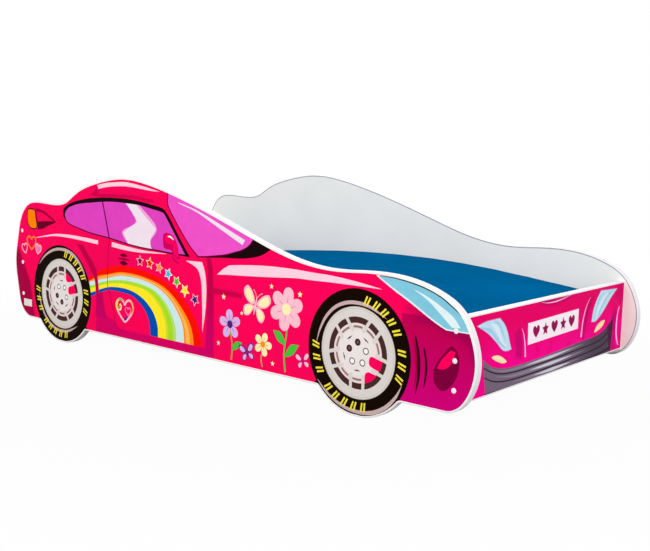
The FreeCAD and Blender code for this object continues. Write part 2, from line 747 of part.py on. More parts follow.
def slat(number, middle, is_end):
    """A pine slat with rounded long edges and the holes of its staples, lying across the bed."""
    name = f"slat_{number:02d}"
    body = doc.addObject("PartDesign::Body", name + "_body")
    half_width = d.slat_width * HALF
    half_length = slat_length * HALF
    outline = polygon_sketch(body, name + "_outline", "XY_Plane", [
        (-half_width, -half_length), (half_width, -half_length),
        (half_width, half_length), (-half_width, half_length)])
    pad = body.newObject("PartDesign::Pad", name + "_pad")
    pad.Profile = outline
    pad.setExpression("Length", d.slat_thickness.text)
    doc.recompute()
    long_edges = [f"Edge{i + 1}" for i, edge in enumerate(pad.Shape.Edges)
                  if edge.Length > slat_length.value - 1]
    fillet = body.newObject("PartDesign::Fillet", name + "_round")
    fillet.Base = (pad, long_edges)
    fillet.setExpression("Radius", d.slat_rounding.text)
    doc.recompute()
    legs = body.newObject("Sketcher::SketchObject", name + "_leg_holes")
    legs.AttachmentSupport = (origin_plane(body, "XY_Plane"), [""])
    legs.MapMode = "FlatFace"
    for x in (-leg_middle, leg_middle):
        for y in (-d.strap_offset, d.strap_offset):
            add_polygon(legs, leg_corners(x, y))
    depth = d.staple_leg - d.strap_thickness - d.staple_wire + d.fit_clearance
    pocket(body, name + "_leg_pocket", legs, depth, deeper_is_up=True)
    place(body, middle, 0, slat_bottom)
    if not is_end:
        keep(body, name)
        return
    holes = []
    for side_name, sign in SIDES.items():
        hole = f"{name}_{side_name}_hole"
        holes.append(cylinder(hole, wood_screw_hole, d.slat_thickness, middle, slat_screw_y * sign,
                              slat_bottom))
        holes.append(countersink(hole + "_sink", d.wood_screw_head + d.fit_clearance * 2,
                                 wood_screw_hole, wood_screw_sink, middle, slat_screw_y * sign,
                                 slat_top, FreeCAD.Rotation(V(1, 0, 0), 180)))
    keep(cut(name + "_drilled", body, fused(name + "_screw_holes", holes)), name)


for number, middle in enumerate(slat_middles, start=1):
    slat(number, middle, number in (1, slat_number))


def strap(name, y):
    """Webbing under the slats, from the first slat to the last, pierced by the staples' legs."""
    overhang = d.slat_width * HALF
    length = slat_middles[-1] - slat_middles[0] + overhang * 2
    blank = box(name + "_blank", length, d.strap_width, d.strap_thickness,
                slat_middles[0] - overhang, y - d.strap_width * HALF, strap_bottom)
    holes = []
    for i, middle in enumerate(slat_middles, start=1):
        for leg, x in (("rear", middle - leg_middle), ("front", middle + leg_middle)):
            holes.append(box(f"{name}_{leg}_leg_{i}", leg_hole, leg_hole, d.strap_thickness,
                             x - leg_hole * HALF, y - leg_hole * HALF, strap_bottom))
    keep(cut(name + "_pierced", blank, fused(name + "_leg_holes", holes)), name)


strap("near_webbing_strap", -d.strap_offset)
strap("far_webbing_strap", d.strap_offset)


def staple():
    """One staple, crown down, with its middle at the strap's underside."""
    body = doc.addObject("PartDesign::Body", "staple")
    wire = d.staple_wire
    top = d.staple_leg - wire
    profile = polygon_sketch(body, "staple_profile", "XZ_Plane", [
        (-staple_reach, -wire), (staple_reach, -wire), (staple_reach, top), (staple_reach - wire, top),
        (staple_reach - wire, 0), (wire - staple_reach, 0), (wire - staple_reach, top),
        (-staple_reach, top)])
    pad = body.newObject("PartDesign::Pad", "staple_pad")
    pad.Profile = profile
    pad.Midplane = True
    pad.setExpression("Length", wire.text)
    doc.recompute()
    return body


staple_master = staple()
keep(copies("staples", staple_master,
            [(middle, y, strap_bottom, None) for middle in slat_middles
             for y in (-d.strap_offset, d.strap_offset)]), "webbing_staples")


# ---------------------------------------------------------------- wood screws

def wood_screw(name, length):
    """Countersunk wood screw with a cross recess; the head's face is at Z 0, the tip below."""
    head = d.wood_screw_head * HALF
    shank = d.wood_screw_shank * HALF
    body = turned_body(name, [
        (0, 0), (head, 0), (shank, -wood_screw_sink), (shank, -(length - d.wood_screw_tip)),
        (0, -length)])
    reach = d.wood_screw_shank * HALF
    half = d.wood_screw_slot * HALF
    cross = polygon_sketch(body, name + "_cross", "XY_Plane", [
        (half, half), (half, reach), (-half, reach), (-half, half), (-reach, half), (-reach, -half),
        (-half, -half), (-half, -reach), (half, -reach), (half, -half), (reach, -half), (reach, half)])
    pocket(body, name + "_recess", cross, d.wood_screw_slot_depth)
    return body


batten_screw_master = wood_screw("batten_screw", d.batten_screw_length)
slat_screw_master = wood_screw("slat_screw", d.slat_screw_length)
for side_name, sign in SIDES.items():
    keep(copies(side_name + "_rail_screws", batten_screw_master,
                [(x, (inner_side - d.batten_width) * sign, batten_middle_z, facing_y(-sign))
                 for x in batten_screw_places]), side_name + "_batten_screws")
keep(copies("end_slat_screws", slat_screw_master,
            [(x, slat_screw_y * sign, slat_top, None) for x in end_slat_middles
             for sign in (NEAR, FAR)]), "slat_screws")


# ---------------------------------------------------------------- mattress

def mattress_section(x, inset, shrink):
    """One upright section across the mattress, drawn in by inset all round and at an end by shrink."""
    along = 2 * x / d.mattress_length.value            # -1 at the head, 1 at the foot
    side = d.mattress_width.value / 2 - d.mattress_draw_in.value * (1 - along ** 2)
    base = slat_top.value + d.soft_clearance.value
    middle_x = (head_face.value + foot_face.value) / 2
    away = math.pi * (middle_x + x - d.mattress_peak.value) / d.mattress_fall_length.value
    thickness = d.mattress_thickness.value - d.mattress_fall.value * (1 - math.cos(away)) / 2
    side -= inset + shrink
    low = base + inset + shrink
    high = base + thickness - inset - shrink
    crown = high + d.mattress_crown.value
    turn = max(d.mattress_rounding.value - inset - shrink, 1)
    near_turn = turn * (1 - math.sqrt(0.5))

    def at(y, z):
        return V(middle_x + x, y, z)

    def bend(sign, level, vertical):
        """A rounded edge: its end on the side, its middle, its end on the top or underside."""
        return (at(sign * side, level + vertical * turn),
                at(sign * (side - near_turn), level + vertical * near_turn),
                at(sign * (side - turn), level))

    low_far, low_far_mid, low_far_in = bend(1, low, 1)
    low_near, low_near_mid, low_near_in = bend(-1, low, 1)
    top_far, top_far_mid, top_far_in = bend(1, high, -1)
    top_near, top_near_mid, top_near_in = bend(-1, high, -1)
    return Part.Wire([
        Part.LineSegment(low_near_in, low_far_in).toShape(),
        Part.Arc(low_far_in, low_far_mid, low_far).toShape(),
        Part.LineSegment(low_far, top_far).toShape(),
        Part.Arc(top_far, top_far_mid, top_far_in).toShape(),
        Part.Arc(top_far_in, at(0, crown), top_near_in).toShape(),
        Part.Arc(top_near_in, top_near_mid, top_near).toShape(),
        Part.LineSegment(top_near, low_near).toShape(),
        Part.Arc(low_near, low_near_mid, low_near_in).toShape(),
    ])


def mattress_form(inset):
    """The crowned form of the mattress, smaller all round by inset, with rounded ends."""
    reach = d.mattress_length.value / 2 - inset
    turn = d.mattress_rounding.value - inset
    spans = int(d.mattress_stations.value)
    sections = []
    for step in (0, 1, 2):                             # the rounding at the head end
        angle = math.radians(90 - 30 * step)
        sections.append((-reach + turn * (1 - math.cos(math.radians(30 * step))),
                         turn * (1 - math.cos(angle))))
    straight = reach - turn
    middle_sections = [(-straight + 2 * straight * i / spans, 0) for i in range(spans + 1)]
    end_sections = [(-x, shrink) for x, shrink in reversed(sections)]
    wires = [mattress_section(x, inset, shrink) for x, shrink in sections + middle_sections + end_sections]
    return Part.makeLoft(wires, True, True)


cover = doc.addObject("Part::Feature", "mattress_cover_form")
cover.Shape = mattress_form(0).cut(mattress_form(d.cover_cloth.value))
keep(cover, "mattress_cover")
foam = doc.addObject("Part::Feature", "mattress_foam_form")
foam.Shape = mattress_form(d.cover_cloth.value + d.soft_clearance.value)
keep(foam, "mattress_foam")


# ---------------------------------------------------------------- check and write

doc.recompute()
for thing in doc.Objects:
    if "Invalid" in thing.State or "Error" in thing.State:
        raise RuntimeError(thing.Name + " failed: " + str(thing.State))
os.makedirs("parts", exist_ok=True)
for piece in pieces:
    shape = piece.Shape
    if shape.isNull() or not shape.isValid() or not shape.Solids:
        raise RuntimeError(piece.Label + " has no valid solid")
    shape.exportStep(f"parts/{piece.Label}.step")
    size = shape.BoundBox
    print(f"{piece.Label:32s} {len(shape.Solids):3d} solids {shape.Volume / 1000:10.1f} cm3  "
          f"{size.XLength:7.1f} {size.YLength:7.1f} {size.ZLength:7.1f}")
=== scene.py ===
import math

import bmesh
import bpy
import numpy as np
from mathutils import Matrix, Vector, geometry


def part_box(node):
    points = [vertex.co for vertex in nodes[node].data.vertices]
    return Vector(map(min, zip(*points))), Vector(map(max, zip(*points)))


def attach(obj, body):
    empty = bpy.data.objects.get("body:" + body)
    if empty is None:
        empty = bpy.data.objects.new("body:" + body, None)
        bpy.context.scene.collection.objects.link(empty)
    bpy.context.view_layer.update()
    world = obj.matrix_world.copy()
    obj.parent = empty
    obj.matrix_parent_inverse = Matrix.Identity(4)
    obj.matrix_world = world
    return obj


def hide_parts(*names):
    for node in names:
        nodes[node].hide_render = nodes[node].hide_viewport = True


# The bed comes flat-packed: two side boards, two end boards, battens, slats and the
# hardware that joins them. Every CAD piece of it arrives here in its place.
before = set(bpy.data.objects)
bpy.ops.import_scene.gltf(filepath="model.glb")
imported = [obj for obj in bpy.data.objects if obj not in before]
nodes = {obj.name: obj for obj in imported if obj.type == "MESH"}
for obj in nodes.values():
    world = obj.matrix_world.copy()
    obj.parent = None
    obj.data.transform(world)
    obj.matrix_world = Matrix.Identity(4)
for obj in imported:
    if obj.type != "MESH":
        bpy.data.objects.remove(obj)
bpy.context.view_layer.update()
MM = 0.001


# Side boards: 18 mm particle board cut to a car's outline and faced on both sides
# with grey-white melamine. The inner faces stay plain, the outer ones are printed.
def screen_colour(red, green, blue):
    """A colour as a printer's proof names it, 0 to 255, in the renderer's own scale."""
    return tuple(
        c / 255 / 12.92 if c <= 10 else ((c / 255 + 0.055) / 1.055) ** 2.4
        for c in (red, green, blue)
    ) + (1.0,)


class Finish:
    """One material, with its shader, to which a section adds the nodes of its finish."""

    def __init__(self, name, roughness=0.5, specular=0.5):
        self.material = bpy.data.materials.new(name)
        self.material.use_nodes = True
        self.tree = self.material.node_tree
        self.shader = self.tree.nodes["Principled BSDF"]
        self.shader.inputs["Roughness"].default_value = roughness
        self.shader.inputs["Specular IOR Level"].default_value = specular

    def node(self, kind, **settings):
        made = self.tree.nodes.new("ShaderNode" + kind)
        for key, value in settings.items():
            if key in made.inputs:
                made.inputs[key].default_value = value
            else:
                setattr(made, key, value)
        return made

    def join(self, out, into):
        self.tree.links.new(out, into)

    def place(self, stretch=(1, 1, 1)):
        """Where a point of the piece is, in metres in the bed's frame, stretched for grain."""
        where = self.node("TexCoord")
        mapping = self.node("Mapping", Scale=stretch)
        self.join(where.outputs["Object"], mapping.inputs["Vector"])
        return mapping.outputs["Vector"]

    def spot(self):
        """The same place as three numbers: along, across and above the floor."""
        parts = self.node("SeparateXYZ")
        self.join(self.place(), parts.inputs["Vector"])
        return parts.outputs

    def noise(self, scale, detail=3.0, rough=0.5, stretch=(1, 1, 1)):
        made = self.node("TexNoise", Scale=scale, Detail=detail, Roughness=rough)
        self.join(self.place(stretch), made.inputs["Vector"])
        return made.outputs["Fac"]

    def maths(self, operation, first, second, third=None):
        """A sum of two or three values, each a number or what another node gives."""
        made = self.node("Math", operation=operation)
        for socket, value in zip(made.inputs, (first, second, third)):
            if isinstance(value, float):
                socket.default_value = value
            elif value is not None:
                self.join(value, socket)
        return made.outputs[0]

    def spread(self, fac, low, high, start=0.3, end=0.7):
        """A grey value between low and high as fac goes from start to end."""
        ends = {"From Min": start, "From Max": end, "To Min": low, "To Max": high}
        made = self.node("MapRange", **ends)
        self.join(fac, made.inputs["Value"])
        return made.outputs["Result"]

    def between(self, fac, first, second, start=0.3, end=0.7):
        """A colour between first and second as fac goes from start to end.

        Each is a proof colour, a colour in the renderer's scale or what a node gives."""
        share = self.spread(fac, 0, 1, start, end)
        made = self.node("Mix", data_type="RGBA")
        self.join(share, made.inputs["Factor"])
        for socket, colour in ((made.inputs[6], first), (made.inputs[7], second)):
            if isinstance(colour, tuple):
                socket.default_value = colour if len(colour) == 4 else screen_colour(*colour)
            else:
                self.join(colour, socket)
        return made.outputs[2]

    def colour(self, out):
        self.join(out, self.shader.inputs["Base Color"])

    def gloss(self, out):
        self.join(out, self.shader.inputs["Roughness"])

    def relief(self, height, depth):
        """Fine relief of that depth in metres."""
        bump = self.node("Bump", Strength=1.0, Distance=depth)
        self.join(height, bump.inputs["Height"])
        self.join(bump.outputs["Normal"], self.shader.inputs["Normal"])


def melamine(name, light, dark):
    """A paper-backed melamine face: faint cloudiness, a fine pore and a satin gloss."""
    face = Finish(name, specular=0.3)
    face.colour(face.between(face.noise(9, 4), dark, light))
    pore = face.noise(900, 2)
    face.gloss(face.spread(pore, 0.4, 0.54))
    face.relief(pore, 0.00004)
    return face.material


def dress(material, *node_names):
    """Gives CAD pieces their finish in place of the plain one that they came with."""
    for name in node_names:
        slots = nodes[name].data.materials
        slots.clear()
        slots.append(material)


board_face = melamine("grey_white_melamine", (246, 243, 237), (241, 239, 233))
dress(board_face, "near_side_panel", "far_side_panel")

# Side print: a laminated film on the outer face of each side board, with the car drawn
# on it. It stops 2 mm short of the board's own edge, so a white margin frames it.
PRINT_MARGIN = 2.0
FILM_THICKNESS = 0.15
FILM_SUNK = 0.05
FAIR_STEP = 4.0
SAME_SPOT = 0.05
THINNEST_PEN = 0.2
AIRBRUSH_GRID = 12.0
GRID_START = 5.0
GRID_CLEAR = 2.0


def fair_line(points, step=FAIR_STEP):
    """A smooth line through the points given, as a draughtsman draws it with a spline."""
    if len(points) < 3:
        return [tuple(p) for p in points]
    knots = [Vector(p) for p in points]
    knots = [2 * knots[0] - knots[1]] + knots + [2 * knots[-1] - knots[-2]]
    line = [tuple(points[0])]
    for a, b, c, d in zip(knots, knots[1:], knots[2:], knots[3:]):
        gaps = [max(math.sqrt((q - p).length), 1e-6) for p, q in ((a, b), (b, c), (c, d))]
        leave = (b - a) / gaps[0] - (c - a) / (gaps[0] + gaps[1]) + (c - b) / gaps[1]
        reach = (c - b) / gaps[1] - (d - b) / (gaps[1] + gaps[2]) + (d - c) / gaps[2]
        leave, reach = leave * gaps[1], reach * gaps[1]
        count = max(2, math.ceil((c - b).length / step))
        for i in range(1, count + 1):
            t = i / count
            line.append(
                tuple(
                    b * (2 * t**3 - 3 * t**2 + 1)
                    + leave * (t**3 - 2 * t**2 + t)
                    + c * (3 * t**2 - 2 * t**3)
                    + reach * (t**3 - t**2)
                )
            )
    return line


def fair_ring(points):
    """A smooth closed line through the points given."""
    line = fair_line([*points[-3:], *points, *points[:4]])
    home = Vector(points[0])
    passes = [i for i, p in enumerate(line) if (Vector(p) - home).length < 1e-6]
    return line[passes[0] : passes[-1]]


def polar(centre, radius, angle):
    """The point at an angle, in degrees from the bed's nose end, anticlockwise upwards."""
    turn = math.radians(angle)
    return centre[0] + radius * math.cos(turn), centre[1] + radius * math.sin(turn)


def arc(centre, radius, start, end, step=FAIR_STEP):
    count = max(2, math.ceil(abs(math.radians(end - start)) * radius / step))
    return [polar(centre, radius, start + (end - start) * i / count) for i in range(count + 1)]


class Artwork:
    """Flat artwork in millimetres: inked shapes laid one over another, the last on top."""

    def __init__(self, slip):
        """slip is how far the sheet is laid off the drawing's own zero, across and up."""
        self.slip = Vector(slip)
        self.shapes = []
        self.airbrushed = []

    def lay(self, ink, *runs, over=None):
        """A shape whose edge is these smooth runs. Each starts at the corner where the one
        before it ended, and the last closes straight to where the first began."""
        edge = []
        for run in runs:
            if edge and (Vector(run[0]) - Vector(edge[-1])).length > SAME_SPOT:
                run = [edge[-1], *run]
            for point in fair_line(run):
                if not edge or (Vector(point) - Vector(edge[-1])).length > SAME_SPOT:
                    edge.append(point)
        if (Vector(edge[0]) - Vector(edge[-1])).length < SAME_SPOT:
            edge.pop()
        self.shapes.append((ink, edge, over))

    def lay_straight(self, ink, corners, over=None):
        self.shapes.append((ink, list(corners), over))

    def lay_blob(self, ink, *points, over=None):
        self.shapes.append((ink, fair_ring(points), over))

    def lay_disc(self, ink, centre, radius, over=None):
        edge = arc(centre, radius, 0, 360, min(FAIR_STEP, radius / 3))
        self.shapes.append((ink, edge[:-1], over))

    def lay_sector(self, ink, centre, inner, outer, start, end, over=None):
        edge = arc(centre, outer, start, end) + arc(centre, inner, end, start)
        self.shapes.append((ink, edge, over))

    def draw(self, ink, points, widths, over=None, step=FAIR_STEP):
        """A pen stroke along a smooth line, its width running through widths end to end."""
        line = [Vector(p) for p in fair_line(points, step)]
        if isinstance(widths, (int, float)):
            widths = (widths, widths)
        travelled = [0.0]
        for a, b in zip(line, line[1:]):
            travelled.append(travelled[-1] + (b - a).length)
        marks = np.linspace(0, travelled[-1], len(widths))
        left, right = [], []
        for i, point in enumerate(line):
            along = (line[min(i + 1, len(line) - 1)] - line[max(i - 1, 0)]).normalized()
            width = max(np.interp(travelled[i], marks, widths), THINNEST_PEN)
            across = Vector((-along.y, along.x)) * width / 2
            left.append(tuple(point + across))
            right.append(tuple(point - across))
        self.shapes.append((ink, left + right[::-1], over))

    def airbrush(self, strength, soft, *points):
        """Darkens the ground inside an outline, fading over a soft width at its edge."""
        self.airbrushed.append((strength, soft, list(points)))


def covered(points, ring):
    """Which of the points lie inside a closed line, also where the line crosses itself."""
    corners = np.array([tuple(p) for p in ring])
    turns = np.zeros(len(points), int)
    for a, b in zip(corners, np.roll(corners, -1, axis=0)):
        aside = (b[0] - a[0]) * (points[:, 1] - a[1]) - (points[:, 0] - a[0]) * (b[1] - a[1])
        turns += (a[1] <= points[:, 1]) & (b[1] > points[:, 1]) & (aside > 0)
        turns -= (a[1] > points[:, 1]) & (b[1] <= points[:, 1]) & (aside < 0)
    return turns != 0


def distance_inside(points, ring):
    """How far each point lies inside a closed line; negative outside."""
    corners = np.array([tuple(p) for p in ring])
    nearest = np.full(len(points), 1e9)
    for a, b in zip(corners, np.roll(corners, -1, axis=0)):
        run = b - a
        share = np.clip(((points - a) @ run) / max(run @ run, 1e-9), 0, 1)
        nearest = np.minimum(nearest, np.linalg.norm(points - a - share[:, None] * run, axis=1))
    return np.where(covered(points, ring), nearest, -nearest)


def closed_pairs(ring):
    """Each point of a closed line with the next one."""
    return zip(ring, ring[1:] + ring[:1])


def outer_loops(node, axis, side):
    """The closed edges of a board's flat face, longest first, as points in millimetres."""
    mesh = nodes[node].data
    level = max(side * v.co[axis] for v in mesh.vertices)
    keep = [i for i in range(3) if i != axis]
    used = {}
    for face in mesh.polygons:
        corners = [mesh.vertices[i].co for i in face.vertices]
        if all(side * co[axis] > level - 1e-6 for co in corners):
            ring = [tuple(round(co[k] / MM, 3) for k in keep) for co in corners]
            for pair in closed_pairs(ring):
                used[frozenset(pair)] = used.get(frozenset(pair), 0) + 1
    beside = {}
    for pair, count in used.items():
        if count == 1 and len(pair) == 2:
            a, b = pair
            beside.setdefault(a, []).append(b)
            beside.setdefault(b, []).append(a)
    loops = []
    while beside:
        start = next(iter(beside))
        loop, last, here = [start], None, start
        while True:
            onward = [p for p in beside[here] if p != last]
            last, here = here, onward[0]
            if here == start:
                break
            loop.append(here)
        for p in loop:
            beside.pop(p)
        loops.append(loop)
    length = lambda loop: sum((Vector(a) - Vector(b)).length for a, b in closed_pairs(loop))
    return sorted(loops, key=length, reverse=True)


def trimmed(loop, margin):
    """A closed outline moved inwards by a margin, with its corners kept."""
    area = sum(a[0] * b[1] - a[1] * b[0] for a, b in closed_pairs(loop))
    ring = loop if area > 0 else loop[::-1]
    moved = []
    for i, point in enumerate(ring):
        before = (Vector(point) - Vector(ring[i - 1])).normalized()
        after = (Vector(ring[(i + 1) % len(ring)]) - Vector(point)).normalized()
        inward = [Vector((-d.y, d.x)) for d in (before, after)]
        middle = (inward[0] + inward[1]).normalized()
        moved.append(tuple(Vector(point) + middle * margin / max(middle.dot(inward[0]), 0.5)))
    return moved


def new_piece(mesh):
    """Puts a mesh made here into the scene."""
    piece = bpy.data.objects.new(mesh.name, mesh)
    bpy.context.scene.collection.objects.link(piece)
    return piece


def turn_faces_out(mesh):
    shape = bmesh.new()
    shape.from_mesh(mesh)
    bmesh.ops.recalc_face_normals(shape, faces=shape.faces)
    shape.to_mesh(mesh)
    shape.free()


def make_film(name, artwork, inks, outline, holes, to_board):
    """Cuts the artwork into one flat film: every spot shows the ink laid there last."""
    laid = lambda ring: [tuple(Vector(p) + artwork.slip) for p in ring]
    shapes = [(ink, laid(ring), over) for ink, ring, over in artwork.shapes]
    airbrushed = [(strength, soft, laid(ring)) for strength, soft, ring in artwork.airbrushed]
    rings = [outline] + [ring for _, ring, _ in shapes] + holes
    for _, soft, ring in airbrushed:
        rings += [trimmed(ring, -soft / 2), trimmed(ring, soft / 2)]
    corners, edges = [], []
    for ring in rings:
        first, count = len(corners), len(ring)
        corners += [Vector(p) for p in ring]
        edges += [(first + i, first + (i + 1) % count) for i in range(count)]
    low, high = np.min(outline, axis=0) + GRID_START, np.max(outline, axis=0)
    across, upward = (np.arange(low[i], high[i], AIRBRUSH_GRID) for i in range(2))
    grid = np.array([(x, z) for x in across for z in upward])
    corners += [Vector(p) for p in grid[distance_inside(grid, outline) > GRID_CLEAR]]
    spots, _, cells, _, _, _ = geometry.delaunay_2d_cdt(corners, edges, [], 0, 1e-3)
    places = np.array([tuple(s) for s in spots])
    middles = places[np.array(cells)].mean(axis=1)
    kept = covered(middles, outline)
    for hole in holes:
        kept &= ~covered(middles, hole)
    number = {ink: i for i, ink in enumerate(inks)}
    top = np.full(len(cells), number["ground"])
    for ink, ring, over in shapes:
        low, high = np.min(ring, axis=0), np.max(ring, axis=0)
        near = np.flatnonzero(kept & np.all((middles > low) & (middles < high), axis=1))
        near = near[covered(middles[near], ring)]
        if over is not None:
            near = near[np.isin(top[near], [number[under] for under in over])]
        top[near] = number[ink]
    shown = [(cells[i], top[i]) for i in np.flatnonzero(kept)]
    dark = np.zeros(len(places))
    for strength, soft, ring in airbrushed:
        share = np.clip(distance_inside(places, ring) / soft + 0.5, 0, 1)
        dark = np.maximum(dark, strength * share * share * (3 - 2 * share))
    used = sorted({i for cell, _ in shown for i in cell})
    renamed = {old: new for new, old in enumerate(used)}
    count = len(used)
    front = [to_board(*places[i], FILM_THICKNESS) for i in used]
    back = [to_board(*places[i], -FILM_SUNK) for i in used]
    polygons, order, loose = [], [], {}
    for cell, ink in shown:
        ring = [renamed[i] for i in cell]
        polygons += [ring, [i + count for i in reversed(ring)]]
        order += [ink, number["ground"]]
        for a, b in closed_pairs(ring):
            if loose.pop((b, a), None) is None:
                loose[(a, b)] = ink
    for (a, b), ink in loose.items():
        polygons.append([b, a, a + count, b + count])
        order.append(ink)
    mesh = bpy.data.meshes.new(name)
    mesh.from_pydata(front + back, [], polygons)
    for ink in inks.values():
        mesh.materials.append(ink)
    mesh.polygons.foreach_set("material_index", order)
    shade = mesh.attributes.new("airbrush", "FLOAT", "POINT")
    shade.data.foreach_set("value", np.tile(dark[used], 2).astype(np.float32))
    turn_faces_out(mesh)
    film = new_piece(mesh)
    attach(film, "bedstead")


def blank_ink(name):
    return Finish("print_" + name, specular=0.01)


def laminated(laid):
    """The clear laminate that seals every ink: satin and finely pored."""
    pore = laid.noise(700, 2)
    laid.gloss(laid.spread(pore, 0.4, 0.52))
    laid.relief(pore, 0.00003)
    return laid.material


def airbrushed_ink(laid, plain, shadow):
    """The ground of a print: its plain colour, and a darker one where it is airbrushed."""
    brush = laid.node("Attribute", attribute_name="airbrush")
    laid.colour(laid.between(brush.outputs["Fac"], plain, shadow, 0, 1))
    return laminated(laid)


def printed(name, red, green, blue, mottle=0.05):
    """One printed ink, slightly uneven."""
    laid = blank_ink(name)
    full = screen_colour(red, green, blue)
    thin = tuple(c * (1 - mottle) for c in full[:3]) + (1.0,)
    laid.colour(laid.between(laid.noise(38, 4, 0.6), thin, full))
    return laminated(laid)


def car_paint_ink():
    """The car's body colour: hot pink, airbrushed to wine at the tail and magenta at the nose."""
    laid = blank_ink("car_pink")
    along, _, height = laid.spot()
    nose = laid.between(height, (168, 0, 128), (132, 0, 72), 0.06, 0.2)
    body = laid.between(height, (160, 0, 104), (142, 0, 58), 0.1, 0.19)
    shadow = laid.between(along, body, nose, 0.5, 0.58)
    shadow = laid.between(along, (146, 0, 58), shadow, -0.62, -0.5)
    pink = laid.between(laid.noise(30, 4, 0.6), (244, 3, 84), (254, 2, 88))
    pink = laid.between(laid.noise(4, 2), pink, (238, 3, 86), 0.5, 0.75)
    return airbrushed_ink(laid, pink, shadow)


# Each ink's proof colour, and a fourth number for one that mottles more or less than usual.
side_colours = {
    "pale_pink": (252, 206, 222),
    "soft_pink": (250, 120, 170),
    "black": (22, 6, 10),
    "glass": (224, 66, 190, 0.1),
    "windscreen": (236, 80, 196, 0.08),
    "glint": (238, 222, 233),
    "reflector": (226, 227, 219),
    "glint_edge": (240, 165, 215),
    "plum": (92, 4, 66),
    "maroon": (98, 0, 34),
    "wine": (160, 0, 56),
    "amber": (255, 133, 0, 0.06),
    "headlamp": (128, 198, 220, 0.12),
    "lamp_edge": (222, 238, 240),
    "white": (246, 244, 244),
    "tyre": (18, 7, 2),
    "tyre_shine": (196, 170, 168),
    "yellow_mark": (240, 222, 60),
    "rim": (216, 209, 204),
    "rim_line": (178, 168, 156),
    "rim_shadow": (104, 92, 90),
    "hub": (232, 224, 221),
    "brake_shade": (68, 42, 40),
    "brake_pale": (232, 212, 210),
    "brake_grey": (138, 120, 114),
    "red": (250, 14, 2),
    "scarlet": (252, 8, 44),
    "orange": (254, 143, 24),
    "light_orange": (254, 184, 90),
    "pale_blue": (203, 234, 234),
    "spring_green": (180, 226, 118),
    "green": (166, 222, 40),
    "lime": (200, 228, 44),
    "yellow": (254, 234, 40),
    "blue": (0, 78, 178, 0.1),
    "cyan": (50, 190, 215),
    "leaf_green": (70, 190, 60),
    "navy": (45, 35, 120),
    "lavender": (214, 178, 232),
    "purple": (78, 36, 120),
    "cream": (250, 240, 176),
    "blush": (250, 190, 206),
    "magenta": (205, 0, 110),
    "rose": (206, 0, 90),
    "bright_pink": (254, 0, 90),
    "vent": (54, 2, 26),
    "fog_glass": (122, 0, 56),
}
side_inks = {"ground": car_paint_ink()}
side_inks.update((ink, printed(ink, *mix)) for ink, mix in side_colours.items())

side = Artwork(slip=(0.8, -2.2))

# Airbrushed shadow on the body: behind the tail, over the nose, along the sill, down
# the crease behind the rear wheel and round the front of the door.
side.airbrush(
    0.85, 12, (-790, 255), (-746, 250), (-720, 214), (-700, 179), (-682, 149), (-676, 119),
    (-672, 89), (-660, 40), (-790, 40),
)
side.airbrush(0.62, 3, (584, 227.5), (770, 227.5), (770, 30), (584, 30))
side.airbrush(
    0.85, 44, (600, 240), (790, 240), (790, 90), (752, 110), (722, 178), (640, 204), (600, 204),
)
side.airbrush(
    0.5, 6, (-384, 73), (-378, 98), (-336, 99), (-304, 90), (-290, 73), (62, 73), (62, 30),
    (-384, 30),
)
side.airbrush(
    0.68, 8, (-462, 274), (-436, 274), (-392, 230), (-366, 196), (-356, 160), (-346, 118),
    (-336, 92), (-386, 92), (-382, 130), (-382, 165), (-392, 194), (-412, 222),
)
side.airbrush(0.62, 6, (32, 60), (60, 60), (60, 200), (56, 262), (50, 284), (34, 284), (40, 250))
side.airbrush(0.55, 6, (56, 202), (150, 203), (150, 214), (56, 217))
side.airbrush(0.45, 5, (-240, 413), (-150, 404), (-150, 396), (-240, 403))
side.airbrush(
    0.5, 5, (-400, 404), (-372, 424), (-366, 420), (-366, 407), (-300, 411), (-240, 411),
    (-240, 403), (-300, 402), (-360, 399),
)

# Roof and belt highlights.
side.lay(
    "pale_pink",
    [(-372, 430), (-340, 436), (-300, 440), (-261, 442), (-200, 436), (-158, 429.5),
     (-129.5, 424.5)],
    [(-158, 425), (-200, 428.3), (-224, 430.2), (-261, 431.5), (-300, 430), (-340, 425.6),
     (-366, 421)],
)
side.draw(
    "pale_pink",
    [(-650, 275), (-600, 283.5), (-560, 289), (-500, 290.5), (-430, 288), (-371, 284.5)],
    (1, 4, 6.5, 8.5, 9.5, 10),
)
side.draw("pale_pink", [(-314, 284.3), (-262, 279.8), (-200, 277), (-105, 279)], (12, 10, 5, 0.6))

